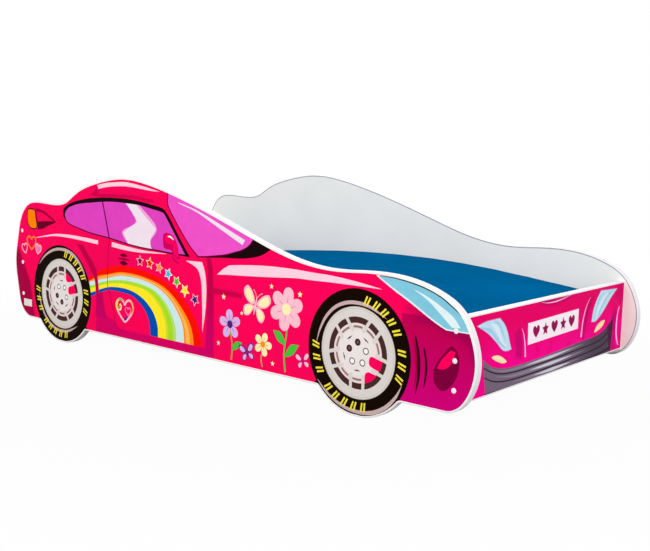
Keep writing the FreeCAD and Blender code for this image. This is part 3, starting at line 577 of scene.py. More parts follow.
# The rainbow on the door, one band over another, cut flat at the sill.
rainbow = [
    (
        "scarlet",
        [(-418, 186), (-400, 196.5), (-370, 213), (-331, 226), (-280, 234.6), (-230, 234.6),
         (-180, 230), (-118, 216.6), (-70, 194.2), (-30, 167), (-5, 139.6), (12, 107.4),
         (22.4, 73.6)],
    ),
    (
        "red",
        [(-418, 183), (-400, 193), (-370, 209), (-331, 222), (-280, 231), (-230, 231.6),
         (-180, 227.5), (-118, 214.6), (-70, 192.6), (-30, 165.6), (-5, 138.6), (12, 106.6),
         (21.6, 73.6)],
    ),
    (
        "orange",
        [(-418, 178), (-400, 186), (-370, 198.6), (-331, 207), (-280, 217.3), (-230, 218),
         (-180, 213.6), (-118, 200.2), (-78, 179), (-49.5, 155.4), (-25.8, 129), (-12.6, 102.6),
         (-7.4, 73.6)],
    ),
    (
        "light_orange",
        [(-418, 177), (-400, 184), (-331, 204), (-280, 213.5), (-230, 214.4), (-180, 210),
         (-124, 197), (-84, 176), (-57, 151), (-35, 125), (-24, 99), (-20.5, 73.6)],
    ),
    (
        "orange",
        [(-418, 176.6), (-400, 182.6), (-331, 200), (-280, 210.5), (-230, 211.5), (-180, 207),
         (-130, 194.6), (-89, 173.6), (-63, 148), (-44, 121), (-36, 95), (-34, 73.6)],
    ),
    (
        "pale_blue",
        [(-418, 176), (-400, 181.6), (-331, 197.6), (-280, 208.6), (-230, 209.6), (-180, 205.4),
         (-131, 192.3), (-91.6, 171.2), (-65.3, 145), (-48, 118.6), (-42, 92.3), (-41.5, 73.6)],
    ),
    (
        "spring_green",
        [(-418, 166), (-400, 171.2), (-331, 190.8), (-280, 197.6), (-230, 198.6), (-180, 193.6),
         (-144, 184.4), (-110, 163.3), (-86.3, 137), (-72.5, 108), (-69, 73.6)],
    ),
    (
        "green",
        [(-418, 164), (-400, 169.2), (-331, 188.8), (-280, 195.6), (-230, 196.6), (-180, 191.2),
         (-147, 181.8), (-114.5, 160), (-92.5, 133), (-82, 105), (-80, 73.6)],
    ),
    (
        "lime",
        [(-418, 160.5), (-400, 165.8), (-331, 185), (-280, 191), (-230, 190.8), (-180, 184.6),
         (-153.6, 174.6), (-123.6, 151.6), (-106, 125), (-98.5, 98), (-98, 73.6)],
    ),
    (
        "yellow",
        [(-418, 158), (-400, 163.6), (-331, 182.6), (-280, 188.6), (-230, 188), (-180, 181.6),
         (-157.4, 171.2), (-128.4, 147.6), (-112.6, 121.2), (-106.5, 94.6), (-106.5, 73.6)],
    ),
    (
        "blue",
        [(-418, 148), (-400, 153), (-331, 174), (-280, 178.4), (-236, 175.2), (-197, 163.3),
         (-170.5, 147.6), (-149.5, 126.6), (-137.6, 100.2), (-136, 73.6)],
    ),
    (
        "ground",
        [(-418, 139), (-400, 143.6), (-331, 166), (-280, 167.3), (-236, 163.3), (-207.4, 150.2),
         (-186.3, 134.4), (-170.5, 110.6), (-165.3, 81.6), (-165, 73.6)],
    ),
]
for band_ink, band_edge in rainbow:
    side.lay(band_ink, band_edge, [(-418, 73.6)])
side.draw(
    "ground", [(-390, 215), (-382, 195), (-377, 165), (-377, 130)], 14,
    over=[band_ink for band_ink, _ in rainbow[:-1]],
)

# Side windows: a black frame, pink glass, the pillar between them and a jagged glint.
side.lay(
    "black",
    [(-521.6, 350.6), (-519, 361.2), (-500.5, 373), (-474, 382.3), (-440, 389.6), (-400.5, 395.4),
     (-340, 400.2), (-300.5, 401.2), (-261, 401.5), (-200.5, 397.6), (-158.4, 392.3),
     (-119, 386.2), (-108.4, 381)],
    [(-92.6, 365.2), (-66.3, 332.3), (-40, 300.6), (-20, 278.6)],
    [(-84.7, 280.2), (-145, 282.8), (-200.5, 284.9), (-250.5, 289), (-300.5, 295), (-329.5, 298.6),
     (-400.5, 304.6), (-440, 311.2), (-482, 319), (-500.5, 324.4), (-511, 332.3), (-520, 342.6),
     (-521.6, 350.6)],
)
side.lay(
    "glass",
    [(-514, 346), (-511, 353), (-498, 364.6), (-474, 373), (-440, 379.6), (-400.5, 384),
     (-340, 389.6), (-300.5, 391.2), (-261, 390.7), (-200.5, 388), (-158.4, 382.2), (-119, 376.4),
     (-114.5, 374.4)],
    [(-114.5, 375.4)],
    [(-95.5, 353.3), (-69.5, 321.6), (-44, 290.2), (-38, 283)],
    [(-84.7, 283.6), (-145, 286), (-200.5, 288), (-250.5, 292), (-300.5, 298), (-329.5, 301.5),
     (-400.5, 307.5), (-440, 314), (-482, 321.7), (-499.5, 327.5), (-508, 334.5), (-514, 346)],
)
side.lay(
    "glint_edge",
    [(-263.5, 395), (-213.7, 395)],
    [(-140, 335), (-163, 303.5), (-156, 280)],
    [(-250, 291)],
    [(-271.5, 318.5), (-218, 348.5), (-263.5, 395)],
    over=("glass",),
)
side.lay(
    "glint",
    [(-259.7, 397), (-213.7, 397)],
    [(-216, 391), (-142.6, 335)],
    [(-165, 303.3), (-156, 280)],
    [(-247, 290)],
    [(-267.6, 317.8)],
    [(-212.4, 348)],
    over=("glass", "glint_edge"),
)
side.draw("plum", [(-351, 392), (-324, 299)], 4.6, over=("glass",))
side.draw(
    "wine",
    [(-323, 297), (-329, 268), (-330.5, 236), (-332, 175), (-324, 158), (-302, 86)],
    (2, 2, 2.4, 2),
)
side.draw("wine", [(-302, 86), (-290, 74), (-270, 67)], (2, 1))

# Windscreen, its pillar and the black cowl at its foot.
side.lay(
    "maroon",
    [(-100.5, 423), (-101.5, 398), (-94.5, 384.4), (-21.5, 302.6), (7, 280.6)],
    [(60, 286), (124, 298), (175, 322), (184, 334)],
    [(184, 372), (100, 412), (-60, 440), (-100.5, 423)],
)
side.lay(
    "windscreen",
    [(-97.5, 421), (-98, 398.5), (-91.4, 385.6), (-19, 304.4), (8, 284)],
    [(32, 286.4), (60, 290.4), (98, 296.5), (124, 303.6), (150.5, 311.6), (171.6, 323.6),
     (181, 334)],
    [(181, 372), (100, 412), (-60, 440), (-97.5, 421)],
)
side.lay(
    "glint",
    [(-62, 403), (0, 389), (60, 368.5), (158, 332.6)],
    [(150.5, 321)],
    [(60, 359.6), (0, 384.6), (-62, 401.4)],
    over=("windscreen",),
)
side.lay(
    "black",
    [(7, 281), (60, 288.5), (98, 294), (124, 301.5), (150.5, 309.6), (171.6, 321.6), (184, 336)],
    [(250, 340)],
    [(235, 318)],
    [(219, 308.3), (203, 301.6), (176.8, 295.2), (140, 290.4), (100, 288.1), (60, 285.2), (7, 281)],
)

# Door mirror: a dark pink shell with a white glint, on a foot that runs down the door.
side.lay(
    "rose",
    [(-117, 311), (-116.4, 322), (-111, 327.4), (-98, 329), (-82, 323.6), (-71.5, 313.6),
     (-65, 303), (-62, 292), (-60.5, 282)],
    [(-55, 276), (-60, 268)],
    [(-70, 272), (-82, 282)],
    [(-88, 289), (-104, 290.4), (-113.4, 293), (-117, 311)],
)
side.lay_blob(
    "magenta", (-117, 309), (-116, 321), (-112, 323), (-113, 312), (-113, 300), (-114, 296),
)
side.lay_blob(
    "bright_pink", (-112, 314), (-108, 322), (-98, 325), (-86, 320.4), (-76, 312), (-76, 305),
    (-92, 303.6), (-106, 306),
)
side.lay_blob(
    "bright_pink", (-76, 308), (-70, 305), (-65.5, 295), (-63.5, 283), (-66, 274), (-77, 281),
    (-81, 293),
)
side.draw("rose", [(-84, 279), (-80, 271), (-72, 264.4), (-56, 260)], (2.5, 7, 6, 1))
side.draw("white", [(-99, 320.4), (-92, 321), (-84, 318), (-78.4, 314.8)], (2.5, 4.6, 4, 2))

# Bonnet highlight, and the one along the door's front edge.
side.lay(
    "pale_pink",
    [(70.3, 247.8), (88, 261), (108.4, 272.3)],
    [(140, 276), (203, 281.2), (255.8, 283.3), (308.4, 283.3), (360, 281.6), (400, 281),
     (451, 277.5), (496, 272.6), (536, 267.2)],
    [(451, 267.2), (400, 266.6), (360, 265.6), (308, 265), (256, 261), (203, 257), (140, 253),
     (98, 250.4), (70.3, 247.8)],
)
side.lay(
    "pale_pink",
    [(-35, 269.4), (-8, 270.6), (20.3, 271.2)],
    [(29.5, 250.2), (34.7, 213.3), (32, 160.6), (24, 118.6), (22, 108)],
    [(21.6, 150.2), (20.3, 192.3), (16.3, 231.6), (5.8, 252.8), (-2, 258), (-35, 269.4)],
)

# Door handle: two dark lens-shaped recesses with the pull between them.
side.lay_blob("maroon", (-282, 260.4), (-267, 265), (-252, 260.4), (-267, 256.6))
side.lay_blob("maroon", (-283, 242), (-267, 247), (-251, 241.4), (-267, 235))
side.draw("wine", [(-292, 250.4), (-267, 251.6), (-242, 250.2)], (1, 7.5, 1))

# A row of stars over the rainbow, each in its own colour with a pale edge.
STAR_WAIST = 0.48


def star(centre, size, turn=90):
    """The ten corners of a five-pointed star, tip and waist by turns."""
    reaches = [size, size * STAR_WAIST] * 5
    return [polar(centre, reach, turn + 36 * i) for i, reach in enumerate(reaches)]


star_row = (
    ("wine", "blush", (-203, 253), 11.5),
    ("red", "cream", (-166, 250.5), 12),
    ("orange", "blush", (-131, 243.5), 11.5),
    ("cyan", "white", (-98, 232), 12),
    ("leaf_green", "cream", (-68, 216.5), 12),
    ("yellow", "cream", (-39, 199), 13),
    ("navy", "blush", (-4, 181.5), 12),
)
FIRST_STAR = -203
LEAN_PER_MM = 0.22
STAR_RIM = 4
for star_ink, star_edge, star_place, star_size in star_row:
    lean = 90 - (star_place[0] - FIRST_STAR) * LEAN_PER_MM
    side.lay_straight(star_edge, star(star_place, star_size + STAR_RIM, lean))
    side.lay_straight(star_ink, star(star_place, star_size, lean))

# Hearts: one under the rainbow in four colours of crayon, and three small ones at the tail.
HEART_HALF = [
    (0, 0.28), (0.1, 0.42), (0.27, 0.5), (0.43, 0.4),
    (0.5, 0.18), (0.4, -0.08), (0.2, -0.32), (0, -0.5),
]


def heart(centre, width, height, tilt=0.0):
    """Points round a heart with its dip at the top, from the dip, as one half and the other."""
    turn = Matrix.Rotation(math.radians(tilt), 2)
    spin = lambda x, z: tuple(turn @ Vector((x * width, z * height)) + Vector(centre))
    return [spin(x, z) for x, z in HEART_HALF], [spin(-x, z) for x, z in reversed(HEART_HALF)]


right_half, left_half = heart((-264, 121.5), 66, 57)
side.draw("blush", left_half + right_half[1:], 5.6, step=2)
side.draw("cream", left_half[2:6], (3, 8, 3), step=2)
side.draw("yellow", left_half[2:5], (2, 6, 4), step=2)
side.draw("leaf_green", left_half[4:7], (2, 4.4, 2), step=2)
side.draw("light_orange", right_half[2:6], (2, 6, 4), step=2)
side.draw("red", right_half[4:6], (2, 4.4, 2), step=2)
side.draw("purple", [(-265, 98), (-259, 103), (-252, 109)], (5, 7, 3), step=2)
side.draw(
    "cream",
    [(-292, 124), (-284, 122), (-278, 128), (-281, 136), (-286, 133)],
    (2, 4, 4, 3), step=2,
)
side.draw("leaf_green", [(-293, 129), (-287, 128.4), (-282, 130)], (2, 4.4, 2), step=2)
side.draw("soft_pink", sum(heart((-251, 121.5), 22, 20), []), 3, step=2)
side.draw("amber", sum(heart((-673, 258.5), 42, 36), []), 4.3, step=2)
side.lay("soft_pink", *heart((-641, 244), 25, 25, -14))
for heart_place, heart_tilt in (((-706, 241), 14), ((-641, 244), -14)):
    side.draw("blush", sum(heart(heart_place, 27, 27, heart_tilt), []), 3.2, step=2)

# Tail lamp: an amber block and a leaf-shaped one behind it, with a white reflector below.
tail_block = [
    (-684, 352), (-668, 352.6), (-655, 350), (-650, 330), (-645.5, 306), (-652, 299.6),
    (-664, 298.6), (-678, 301), (-688, 312), (-690.4, 330), (-688.6, 347),
]
side.lay_blob("amber", *tail_block)
side.draw("maroon", fair_line(tail_block + tail_block[:1]), 3.6)
side.lay(
    "wine",
    [(-652, 356), (-610, 350.4), (-585, 339.6), (-562, 329.4), (-554, 323)],
    [(-585, 312.6), (-620, 300)],
    [(-641, 296.6)],
    [(-646, 325), (-652, 356)],
)
side.lay(
    "ground",
    [(-645, 347.6), (-612, 343.4), (-588, 333.8), (-568, 325.4)],
    [(-566, 325.6)],
    [(-600, 324), (-640, 320)],
    [(-644, 336), (-647, 349.6)],
)
side.lay(
    "maroon",
    [(-641, 318.4), (-600, 322.4), (-558, 323.4)],
    [(-585, 314.6), (-620, 302.4)],
    [(-640, 299.4)],
)
side.lay("reflector", [(-716, 99.6), (-677.5, 99.6)], [(-677.5, 80)], [(-716, 80)])

# Headlamp, the two vents behind it and the fog lamp in the nose.
side.lay(
    "lamp_edge",
    [(521, 294.4), (560, 294), (601, 290), (639.5, 282), (673, 269.5), (697, 256), (718, 242),
     (728, 232), (741, 208)],
    [(685, 208)],
    [(659, 219.2), (600, 250.6), (559, 271), (521, 292.4)],
)
side.lay(
    "headlamp",
    [(528, 293.5), (564.5, 293), (601, 289), (639.5, 281), (673, 268.5), (697, 255), (718, 241),
     (727, 231), (737.5, 210.6)],
    [(686, 210.6)],
    [(660.5, 222), (602, 253.6), (561, 274)],
    [(528, 291.5)],
)
side.draw(
    "black",
    [(530, 293.6), (564.5, 292.4), (601, 288), (639.5, 279.8), (671.4, 268), (694, 254.6),
     (714.5, 240.6), (723, 232), (731, 219)],
    (1.2, 2.2, 2.8, 2.2, 1),
)
side.lay(
    "lamp_edge",
    [(607.7, 276.6), (636, 267.6), (662, 256), (700, 234), (716, 216)],
    [(697, 214.8)],
    [(668, 239), (640, 260), (607.7, 276.6)],
    over=("headlamp",),
)
side.draw("wine", [(612, 186), (618, 160.6), (621, 131.3), (620, 104), (618, 84)], (1, 4, 5, 4, 1))
side.draw(
    "vent",
    [(616.8, 188), (623.6, 160.6), (627, 131.3), (626, 104), (620.5, 74)],
    (4, 6.5, 7.5, 6, 1),
)
side.draw("vent", [(637.6, 167), (643, 142), (643.4, 116), (639, 88)], (3.4, 5.4, 5.4, 1))
side.lay_blob(
    "fog_glass", (698, 180), (710.5, 172), (716, 152), (713, 128), (703, 108.6), (682.7, 92.6),
    (666.8, 99.6), (660, 117.6), (664, 138), (678, 159),
)
side.lay(
    "bright_pink",
    [(668, 133.6), (678, 151.6), (696.4, 172.2)],
    [(706.6, 170)],
    [(702, 151.6), (689.5, 137), (678, 132.5)],
)


# Painted wheels: a black tyre with a soft shine, a pale alloy rim with ten windows that
# show the brake, and five bolt holes. The rear wheel is the front one turned upside down.
RIM_DISCS = (
    ("rim_line", 94), ("rim", 92.8), ("rim_line", 90.2),
    ("rim", 89.5), ("brake_shade", 73.6), ("brake_pale", 61),
)
# Where the tyre shines, as distances from the wheel's centre and angles.
UPPER_SHINE = (
    (107.8, 175.3), (105.6, 161.9), (105, 142.6), (104.6, 123.9), (102.8, 106),
    (101.1, 90), (100.9, 74.7), (101.4, 59.4), (104.8, 48.4),
)
LOWER_SHINE = (
    (125.5, 214.5), (122.8, 227.2), (120.8, 241), (120.1, 256.3), (119.9, 269.8),
    (120.9, 282.7), (121.7, 295), (121.4, 309), (120.6, 323.2), (120.2, 336.9),
)


def paint_wheel(centre, flip):
    """flip is 1 for the front wheel and -1 for the rear one, which mirrors it top to bottom."""
    spot = lambda radius, angle: polar(centre, radius, angle * flip)
    on_rim = lambda x, z: (centre[0] + x, centre[1] + z * flip)
    side.lay_disc("tyre", centre, 130.2)
    side.lay_sector("tyre", centre, 120, 140, 215, 325)
    for ink, radius in RIM_DISCS:
        side.lay_disc(ink, centre, radius)
    for window in range(10):
        middle = 18 + 36 * window
        ends = (middle - 12) * flip, (middle + 12) * flip
        side.lay_sector("brake_grey", centre, 51.5, 56, *ends)
    side.lay_disc("hub", centre, 48)
    side.lay(
        "bright_pink",
        [on_rim(36.6, -1.2), on_rim(62.6, -7.7)],
        [on_rim(60.8, -18.2), on_rim(56.1, -29.2)],
        [on_rim(36, -23.5)],
        [on_rim(30, -19), on_rim(29.2, -12), on_rim(31, -4.5), on_rim(36.6, -1.2)],
    )
    side.draw("rose", [on_rim(49, -8), on_rim(51.6, -15), on_rim(49, -23)], (0.6, 2.2, 0.6))
    side.lay(
        "bright_pink",
        [on_rim(29, -33.7), on_rim(49.6, -37.7)],
        [spot(62.3, -37.2), spot(63, -53), spot(61.7, -70.5)],
        [on_rim(19.2, -58)],
        [on_rim(19.2, -44)],
        [on_rim(22, -37), on_rim(29, -33.7)],
    )
    side.draw("rose", [on_rim(32, -36), on_rim(38, -39.4), on_rim(44, -38.4)], (0.6, 3, 0.6))
    for fifth in range(5):
        middle = 54 + 72 * fifth
        along = Vector(spot(1, middle)) - Vector(centre)
        aside = Vector((-along.y, along.x)) * 15.9
        for beside in (-aside, aside):
            spoke = [tuple(Vector(centre) + along * reach + beside) for reach in (42, 74)]
            side.draw("rim", spoke, 7.4)
        if fifth != 4:
            shade = [spot(36.6, middle - 13), spot(35.4, middle), spot(36.6, middle + 13)]
            side.draw("brake_shade", shade, (0.5, 3.4, 0.5), step=2)
        bolt = spot(22.2, 18 + 72 * fifth)
        dark = fifth in (1, 2)
        side.lay_disc("brake_shade" if dark else "rim_shadow", bolt, 7.4)
        side.lay_disc("rim_shadow" if dark else "white", bolt, 2.6 if dark else 5.1)
    for shine, widths in (
        (UPPER_SHINE, (1, 4.5, 6.5, 7, 7.5, 7.5, 7, 5, 0.5)),
        (LOWER_SHINE, (1, 5, 6.5, 7, 7.5, 8.5, 9, 8, 6, 1)),
    ):
        side.draw("tyre_shine", [spot(*at) for at in shine], widths, over=("tyre",))


def tyre_marks(centre, first, last, count):
    """Pairs of slanted yellow dashes round the tyre wall, as tyres are marked for show."""
    for i in range(count):
        angle = first + (last - first) * i / (count - 1)
        for lead in (-2, 2):
            inner_end = polar(centre, 100.5, angle + lead + 1.3)
            outer_end = polar(centre, 119, angle + lead - 1.3)
            side.draw("yellow_mark", [inner_end, outer_end], 4)


for wheel_centre, wheel_flip in (((478.3, 132.3), 1), ((-533.4, 133.3), -1)):
    paint_wheel(wheel_centre, wheel_flip)
    for marks in ((79, 30, 5), (9, -19, 3), (279, 228, 5), (207, 179, 3)):
        tyre_marks(wheel_centre, *marks)

# Flowers and butterflies in front of the door, drawn in shares of each one's own size.
PETAL = ((0.15, 0), (0.5, 0.3), (0.88, 0.24), (1, 0), (0.88, -0.24), (0.5, -0.3))
WINGS = (
    ((0.08, 0.1), (0.35, 0.62), (0.8, 0.86), (1, 0.55), (0.75, 0.16), (0.3, 0)),
    ((0.08, -0.05), (0.45, -0.05), (0.78, -0.3), (0.66, -0.72), (0.36, -0.66), (0.14, -0.3)),
)
WING_FIELD = 0.74


def flower(centre, size, petal, middle, petals, turn):
    at = Vector(centre)
    vein = "purple" if petal == "lavender" else "magenta"
    for i in range(petals):
        out = Vector(polar((0, 0), 1, turn + 360 / petals * i))
        off = Vector((-out.y, out.x))
        side.lay_blob(petal, *[tuple(at + out * size * a + off * size * b) for a, b in PETAL])
        side.draw(vein, [tuple(at + out * size * a) for a in (0.3, 0.62)], (1.2, 0.6))
    side.lay_disc(middle, centre, size * 0.26)


def butterfly(centre, size, wing, edge, lean):
    turn = Matrix.Rotation(math.radians(lean), 2)
    spot = lambda x, z: tuple(turn @ (Vector((x, z)) * size) + Vector(centre))
    for flip in (-1, 1):
        for grow, fill in ((1, edge), (WING_FIELD, wing)):
            for points in WINGS:
                cx, cz = (sum(p[i] for p in points) / len(points) for i in range(2))
                grown = [(cx + (x - cx) * grow, cz + (z - cz) * grow) for x, z in points]
                side.lay_blob(fill, *[spot(flip * x, z) for x, z in grown])
    side.draw(edge, [spot(0, 0.42), spot(0, 0), spot(0, -0.5)], (2, size * 0.16, 1.5), step=2)
    for flip in (-1, 1):
        feeler = [spot(0, 0.4), spot(flip * 0.16, 0.66), spot(flip * 0.34, 0.8)]
        side.draw(edge, feeler, 1.4, step=2)


side.draw("leaf_green", [(283, 60), (279, 100), (286, 150), (284, 185)], (4, 3.4, 3))
side.lay("leaf_green", [(281, 92), (303, 100), (322, 124)], [(298, 121), (281, 96)])
side.lay("leaf_green", [(282, 118), (262, 124), (246, 146)], [(268, 144), (283, 124)])
side.draw("leaf_green", [(118, 60), (121, 90), (114, 126)], (3.6, 3, 2.6))
side.lay("leaf_green", [(120, 82), (138, 88), (152, 104)], [(133, 103), (120, 87)])
side.draw("leaf_green", [(215, 60), (211, 78), (216, 96)], (3.2, 2.6, 2.4))
flower((284, 196), 48, "blush", "cream", 6, 80)
flower((113, 140), 34, "lavender", "purple", 5, 95)
flower((216, 110), 27, "cream", "orange", 5, 70)
butterfly((192, 192), 42, "cream", "blush", -14)
butterfly((168, 84), 24, "lavender", "purple", 16)
butterfly((333, 92), 21, "blush", "magenta", 12)
for spark, spark_size in (
    ((92, 200), 7), ((240, 240), 6), ((150, 170), 5),
    ((322, 232), 7), ((246, 72), 6), ((76, 92), 6),
):
    side.lay_straight("cream", star(spark, spark_size))

near_loops = outer_loops("near_side_panel", 1, -1)
near_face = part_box("near_side_panel")[0].y
far_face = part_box("far_side_panel")[1].y
print_edge = trimmed(near_loops[0], PRINT_MARGIN)
for film_name, film_face, outward in (
    ("near_side_print", near_face, -1),
    ("far_side_print", far_face, 1),
):
    make_film(
        film_name, side, side_inks, print_edge, near_loops[1:],
        lambda x, z, out: Vector((x * MM, film_face + outward * out * MM, z * MM)),
    )

# End boards: the low foot board is the car's front, printed like the sides, and the
# head board behind the pillow is plain white melamine. Both stand between the sides.
FOOT_PRINT_MARGIN = 1.0
end_face = melamine("white_melamine", (242, 243, 244), (236, 238, 239))
dress(end_face, "head_panel", "foot_panel")


def front_paint_ink():
    """The car's front: hot pink that turns to a cooler pink low down."""
    laid = blank_ink("front_pink")
    _, _, height = laid.spot()
    pink = laid.between(height, (250, 0, 142), (232, 0, 100), 0.12, 0.2)
    pink = laid.between(laid.noise(30, 4, 0.6), pink, (225, 0, 105), 0.5, 0.8)
    return airbrushed_ink(laid, pink, (150, 0, 90))


def grille_ink():
    """The grille's grey, which darkens toward the print's right end."""
    laid = blank_ink("grille")
    _, across, _ = laid.spot()
    laid.colour(laid.between(across, (116, 101, 120), (78, 66, 82), 0.04, 0.2))
    return laminated(laid)


front_colours = {
    "lamp_edge": (168, 176, 228),
    "headlamp": (198, 229, 248, 0.1),
    "lamp_shade": (168, 213, 238, 0.1),
    "lamp_light": (224, 238, 250),
    "amber": (255, 226, 168, 0.06),
    "amber_light": (255, 244, 224),
    "grille_end": (80, 30, 68),
    "grille_mid": (140, 128, 147),
    "grille_shine": (206, 206, 218),
    "grille_dark": (54, 36, 52),
    "plate": (254, 240, 249),
    "streak": (255, 186, 234),
    "wine": (150, 16, 84),
}
front_inks = {"ground": front_paint_ink(), "grille": grille_ink()}
front_inks.update((ink, printed("front_" + ink, *mix)) for ink, mix in front_colours.items())
front = Artwork(slip=(1.0, -2.3))
front.airbrush(0.48, 10, (-166, 180), (-148, 190), (-138, 160), (-136, 126), (-164, 126))
front.airbrush(
    0.55, 10, (166, 216), (182, 214), (166, 186), (152, 150), (146, 124), (136, 124), (142, 170),
)
front.airbrush(0.5, 12, (296, 166), (316, 176), (314, 78), (294, 78))
front.airbrush(0.3, 14, (318, 240), (360, 240), (360, 60), (336, 60), (336, 180), (306, 200))
front.airbrush(0.3, 9, (292, 160), (312, 178), (316, 120), (322, 60), (288, 60))
front.airbrush(0.5, 10, (-80, 234), (-50, 222), (0, 218), (50, 223), (86, 234))
front.lay(
    "grille",
    [(-286, 144), (-260.7, 128), (-226, 117.6), (-184.8, 112.4), (-119.3, 111.7), (0, 114),
     (108, 118.6), (198, 121), (246, 128), (280.7, 143.4), (300, 158)],
    [(297, 120), (291, 66)],
    [(-273, 66)],
    [(-280, 105), (-286, 144)],
)
front.draw(
    "grille_mid",
    [(-264, 124), (-226, 112), (-184, 107), (-119, 105.6), (0, 107), (90, 110), (150, 112)],
    (1, 4, 6, 7.5, 8, 5, 0.5),
)
front.draw(
    "grille_shine",
    [(-120, 105.8), (-60, 106.2), (0, 107), (44, 108.6), (84, 109.8)],
    (0.5, 4, 6.4, 4, 0.5),
)
front.draw(
    "grille_dark",
    [(-283, 127), (-250, 113), (-215, 104.6), (-170, 100.4), (-60, 99.6), (0, 100.4), (120, 103),
     (205, 106), (250, 112.6), (295, 132)],
    (2.5, 3, 3, 3.2, 3.2, 3.2, 3.2, 3.2, 4, 5),
)
front.draw(
    "grille_mid",
    [(-236, 101.6), (-175, 93.6), (-60, 92.4), (0, 92.8), (90, 94.6), (150, 96)],
    (1, 5, 7, 7.6, 5, 0.5),
)
front.draw(
    "grille_shine",
    [(-100, 92.6), (-50, 92.5), (0, 92.8), (46, 93.8), (90, 94.8)],
    (0.5, 4.4, 6.8, 4.4, 0.5),
)
front.draw(
    "grille_dark",
    [(-281, 108), (-250, 96), (-215, 89), (-170, 85.8), (-60, 84.6), (0, 85), (120, 87.4),
     (205, 90.6), (250, 96), (294, 112)],
    (2.5, 3, 3, 3.2, 3.2, 3.2, 3.2, 3.2, 4, 5),
)
front.draw(
    "grille_mid",
    [(-170, 80), (-60, 78.8), (0, 79), (70, 80), (130, 81.4)],
    (0.5, 5, 6.6, 5, 0.5),
)
front.draw(
    "grille_shine",
    [(-80, 78.8), (-36, 78.8), (0, 79), (40, 79.6), (82, 80.2)],
    (0.5, 4.8, 7, 4.8, 0.5),
)
front.draw(
    "grille_dark",
    [(-276, 74), (-170, 71.6), (0, 71), (200, 75), (292, 82)],
    (2, 3, 3, 4, 6),
)
front.lay_blob(
    "grille_end", (301, 158), (290, 149), (268, 138), (272, 122), (277, 100), (288, 76), (297, 84),
    (299, 120), over=("grille", "grille_mid"),
)
left_lamp = (
    [(-314, 212.4), (-283, 217.4), (-230.3, 218)],
    [(-230.3, 218), (-211, 203), (-197, 184), (-188, 164), (-180, 149)],
    [(-180, 149), (-192, 147.4), (-212.4, 150.6), (-240, 170.6), (-271, 191.4), (-314, 212.4)],
)
right_lamp = (
    [(180, 157), (187.6, 184.8), (203, 207.2), (222.8, 225.6)],
    [(222.8, 225.6), (312, 221.6)],
    [(312, 221.6), (280.7, 204), (253, 183.4), (225.5, 166), (201.4, 156), (180, 157)],
)
front.lay("headlamp", *left_lamp)
front.lay("headlamp", *right_lamp)
lamp = ("headlamp", "lamp_shade", "lamp_light")
front.draw(
    "lamp_shade",
    [(-300, 208), (-262, 196), (-236, 176), (-206, 156)],
    (3, 8, 9, 3), over=lamp,
)
front.draw(
    "lamp_light",
    [(-262, 211), (-238, 196), (-220, 172), (-202, 158)],
    (3, 12, 9, 3), over=lamp,
)
front.draw(
    "lamp_shade",
    [(-252, 214), (-232, 206), (-216, 186), (-205, 168)],
    (2, 6, 5, 2), over=lamp,
)
front.draw("lamp_shade", [(296, 219), (262, 210), (232, 188), (214, 166)], (3, 9, 9, 3), over=lamp)
front.draw(
    "lamp_light",
    [(262, 216), (236, 202), (214, 182), (204, 164)],
    (3, 10, 10, 3), over=lamp,
)
front.draw("lamp_shade", [(240, 218), (218, 208), (202, 186), (194, 166)], (2, 6, 5, 2), over=lamp)
for outline_run in (*left_lamp, *right_lamp):
    front.draw("lamp_edge", outline_run, 2.2, over=lamp)
front.lay_blob(
    "amber", (-255, 143.4), (-240, 145.4), (-219, 140), (-197, 126), (-210, 125), (-236, 133),
)
front.lay_blob(
    "amber", (199, 131), (208, 143), (229, 151.8), (252, 152.4), (243, 141.4), (218, 133),
)
front.draw("amber_light", [(-248, 141.6), (-228, 138), (-208, 129)], (1, 4, 1), over=("amber",))
front.draw("amber_light", [(204, 134), (218, 140), (238, 148)], (1, 4, 1), over=("amber",))
front.lay_straight("plate", [(-116, 192.6), (112, 196), (112.6, 151.4), (-113.6, 147.4)])
for i in range(5):
    plate_spot = (-80 + 40 * i, 170.6 + 0.4 * i)
    if i % 2:
        front.lay_straight("wine", star(plate_spot, 15))
    else:
        front.lay("wine", *heart(plate_spot, 29, 26))
front.draw(
    "streak",
    [(-141, 185), (-133, 173), (-125.5, 150), (-121.6, 124)],
    (1, 3, 4.6, 5), step=3,
)
front.draw(
    "streak",
    [(170.6, 216), (156.6, 204), (142.8, 183), (135, 160.6), (131.4, 129.6)],
    (0.8, 2.6, 4, 5, 6.4), step=3,
)
front.draw(
    "streak",
    [(331, 176), (324, 166), (319.4, 140), (321.4, 109), (330.6, 88), (338, 81)],
    (3, 5, 6, 7, 6, 2), step=3,
)
front.draw(
    "streak",
    [(-61, 229), (-36, 225.6), (0, 224.6), (39, 227.6), (74, 232)],
    (0.5, 2, 3, 2, 0.5), step=4,
)

foot_loops = outer_loops("foot_panel", 0, 1)
foot_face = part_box("foot_panel")[1].x
make_film(
    "foot_print", front, front_inks, trimmed(foot_loops[0], FOOT_PRINT_MARGIN), foot_loops[1:],
    lambda y, z, out: Vector((foot_face + out * MM, y * MM, z * MM)),
)


# Edge bands: 2 mm white plastic strip, hot-glued round every cut edge and scraped, so
# its outer corners are rounded. Four strips meet on each side board.
def white_plastic(name, light, dark, roughness=0.34, specular=0.5):
    strip = Finish(name, specular=specular)
    strip.colour(strip.between(strip.noise(24, 3), dark, light))
    fine = strip.noise(420, 2)
    strip.gloss(strip.spread(fine, roughness - 0.06, roughness + 0.08))
    strip.relief(fine, 0.00006)
    return strip.material


band_plastic = white_plastic("white_edge_band", (231, 229, 233), (225, 223, 227), 0.48, 0.15)
dress(band_plastic, *(name for name in nodes if name.endswith("_edge_band")))

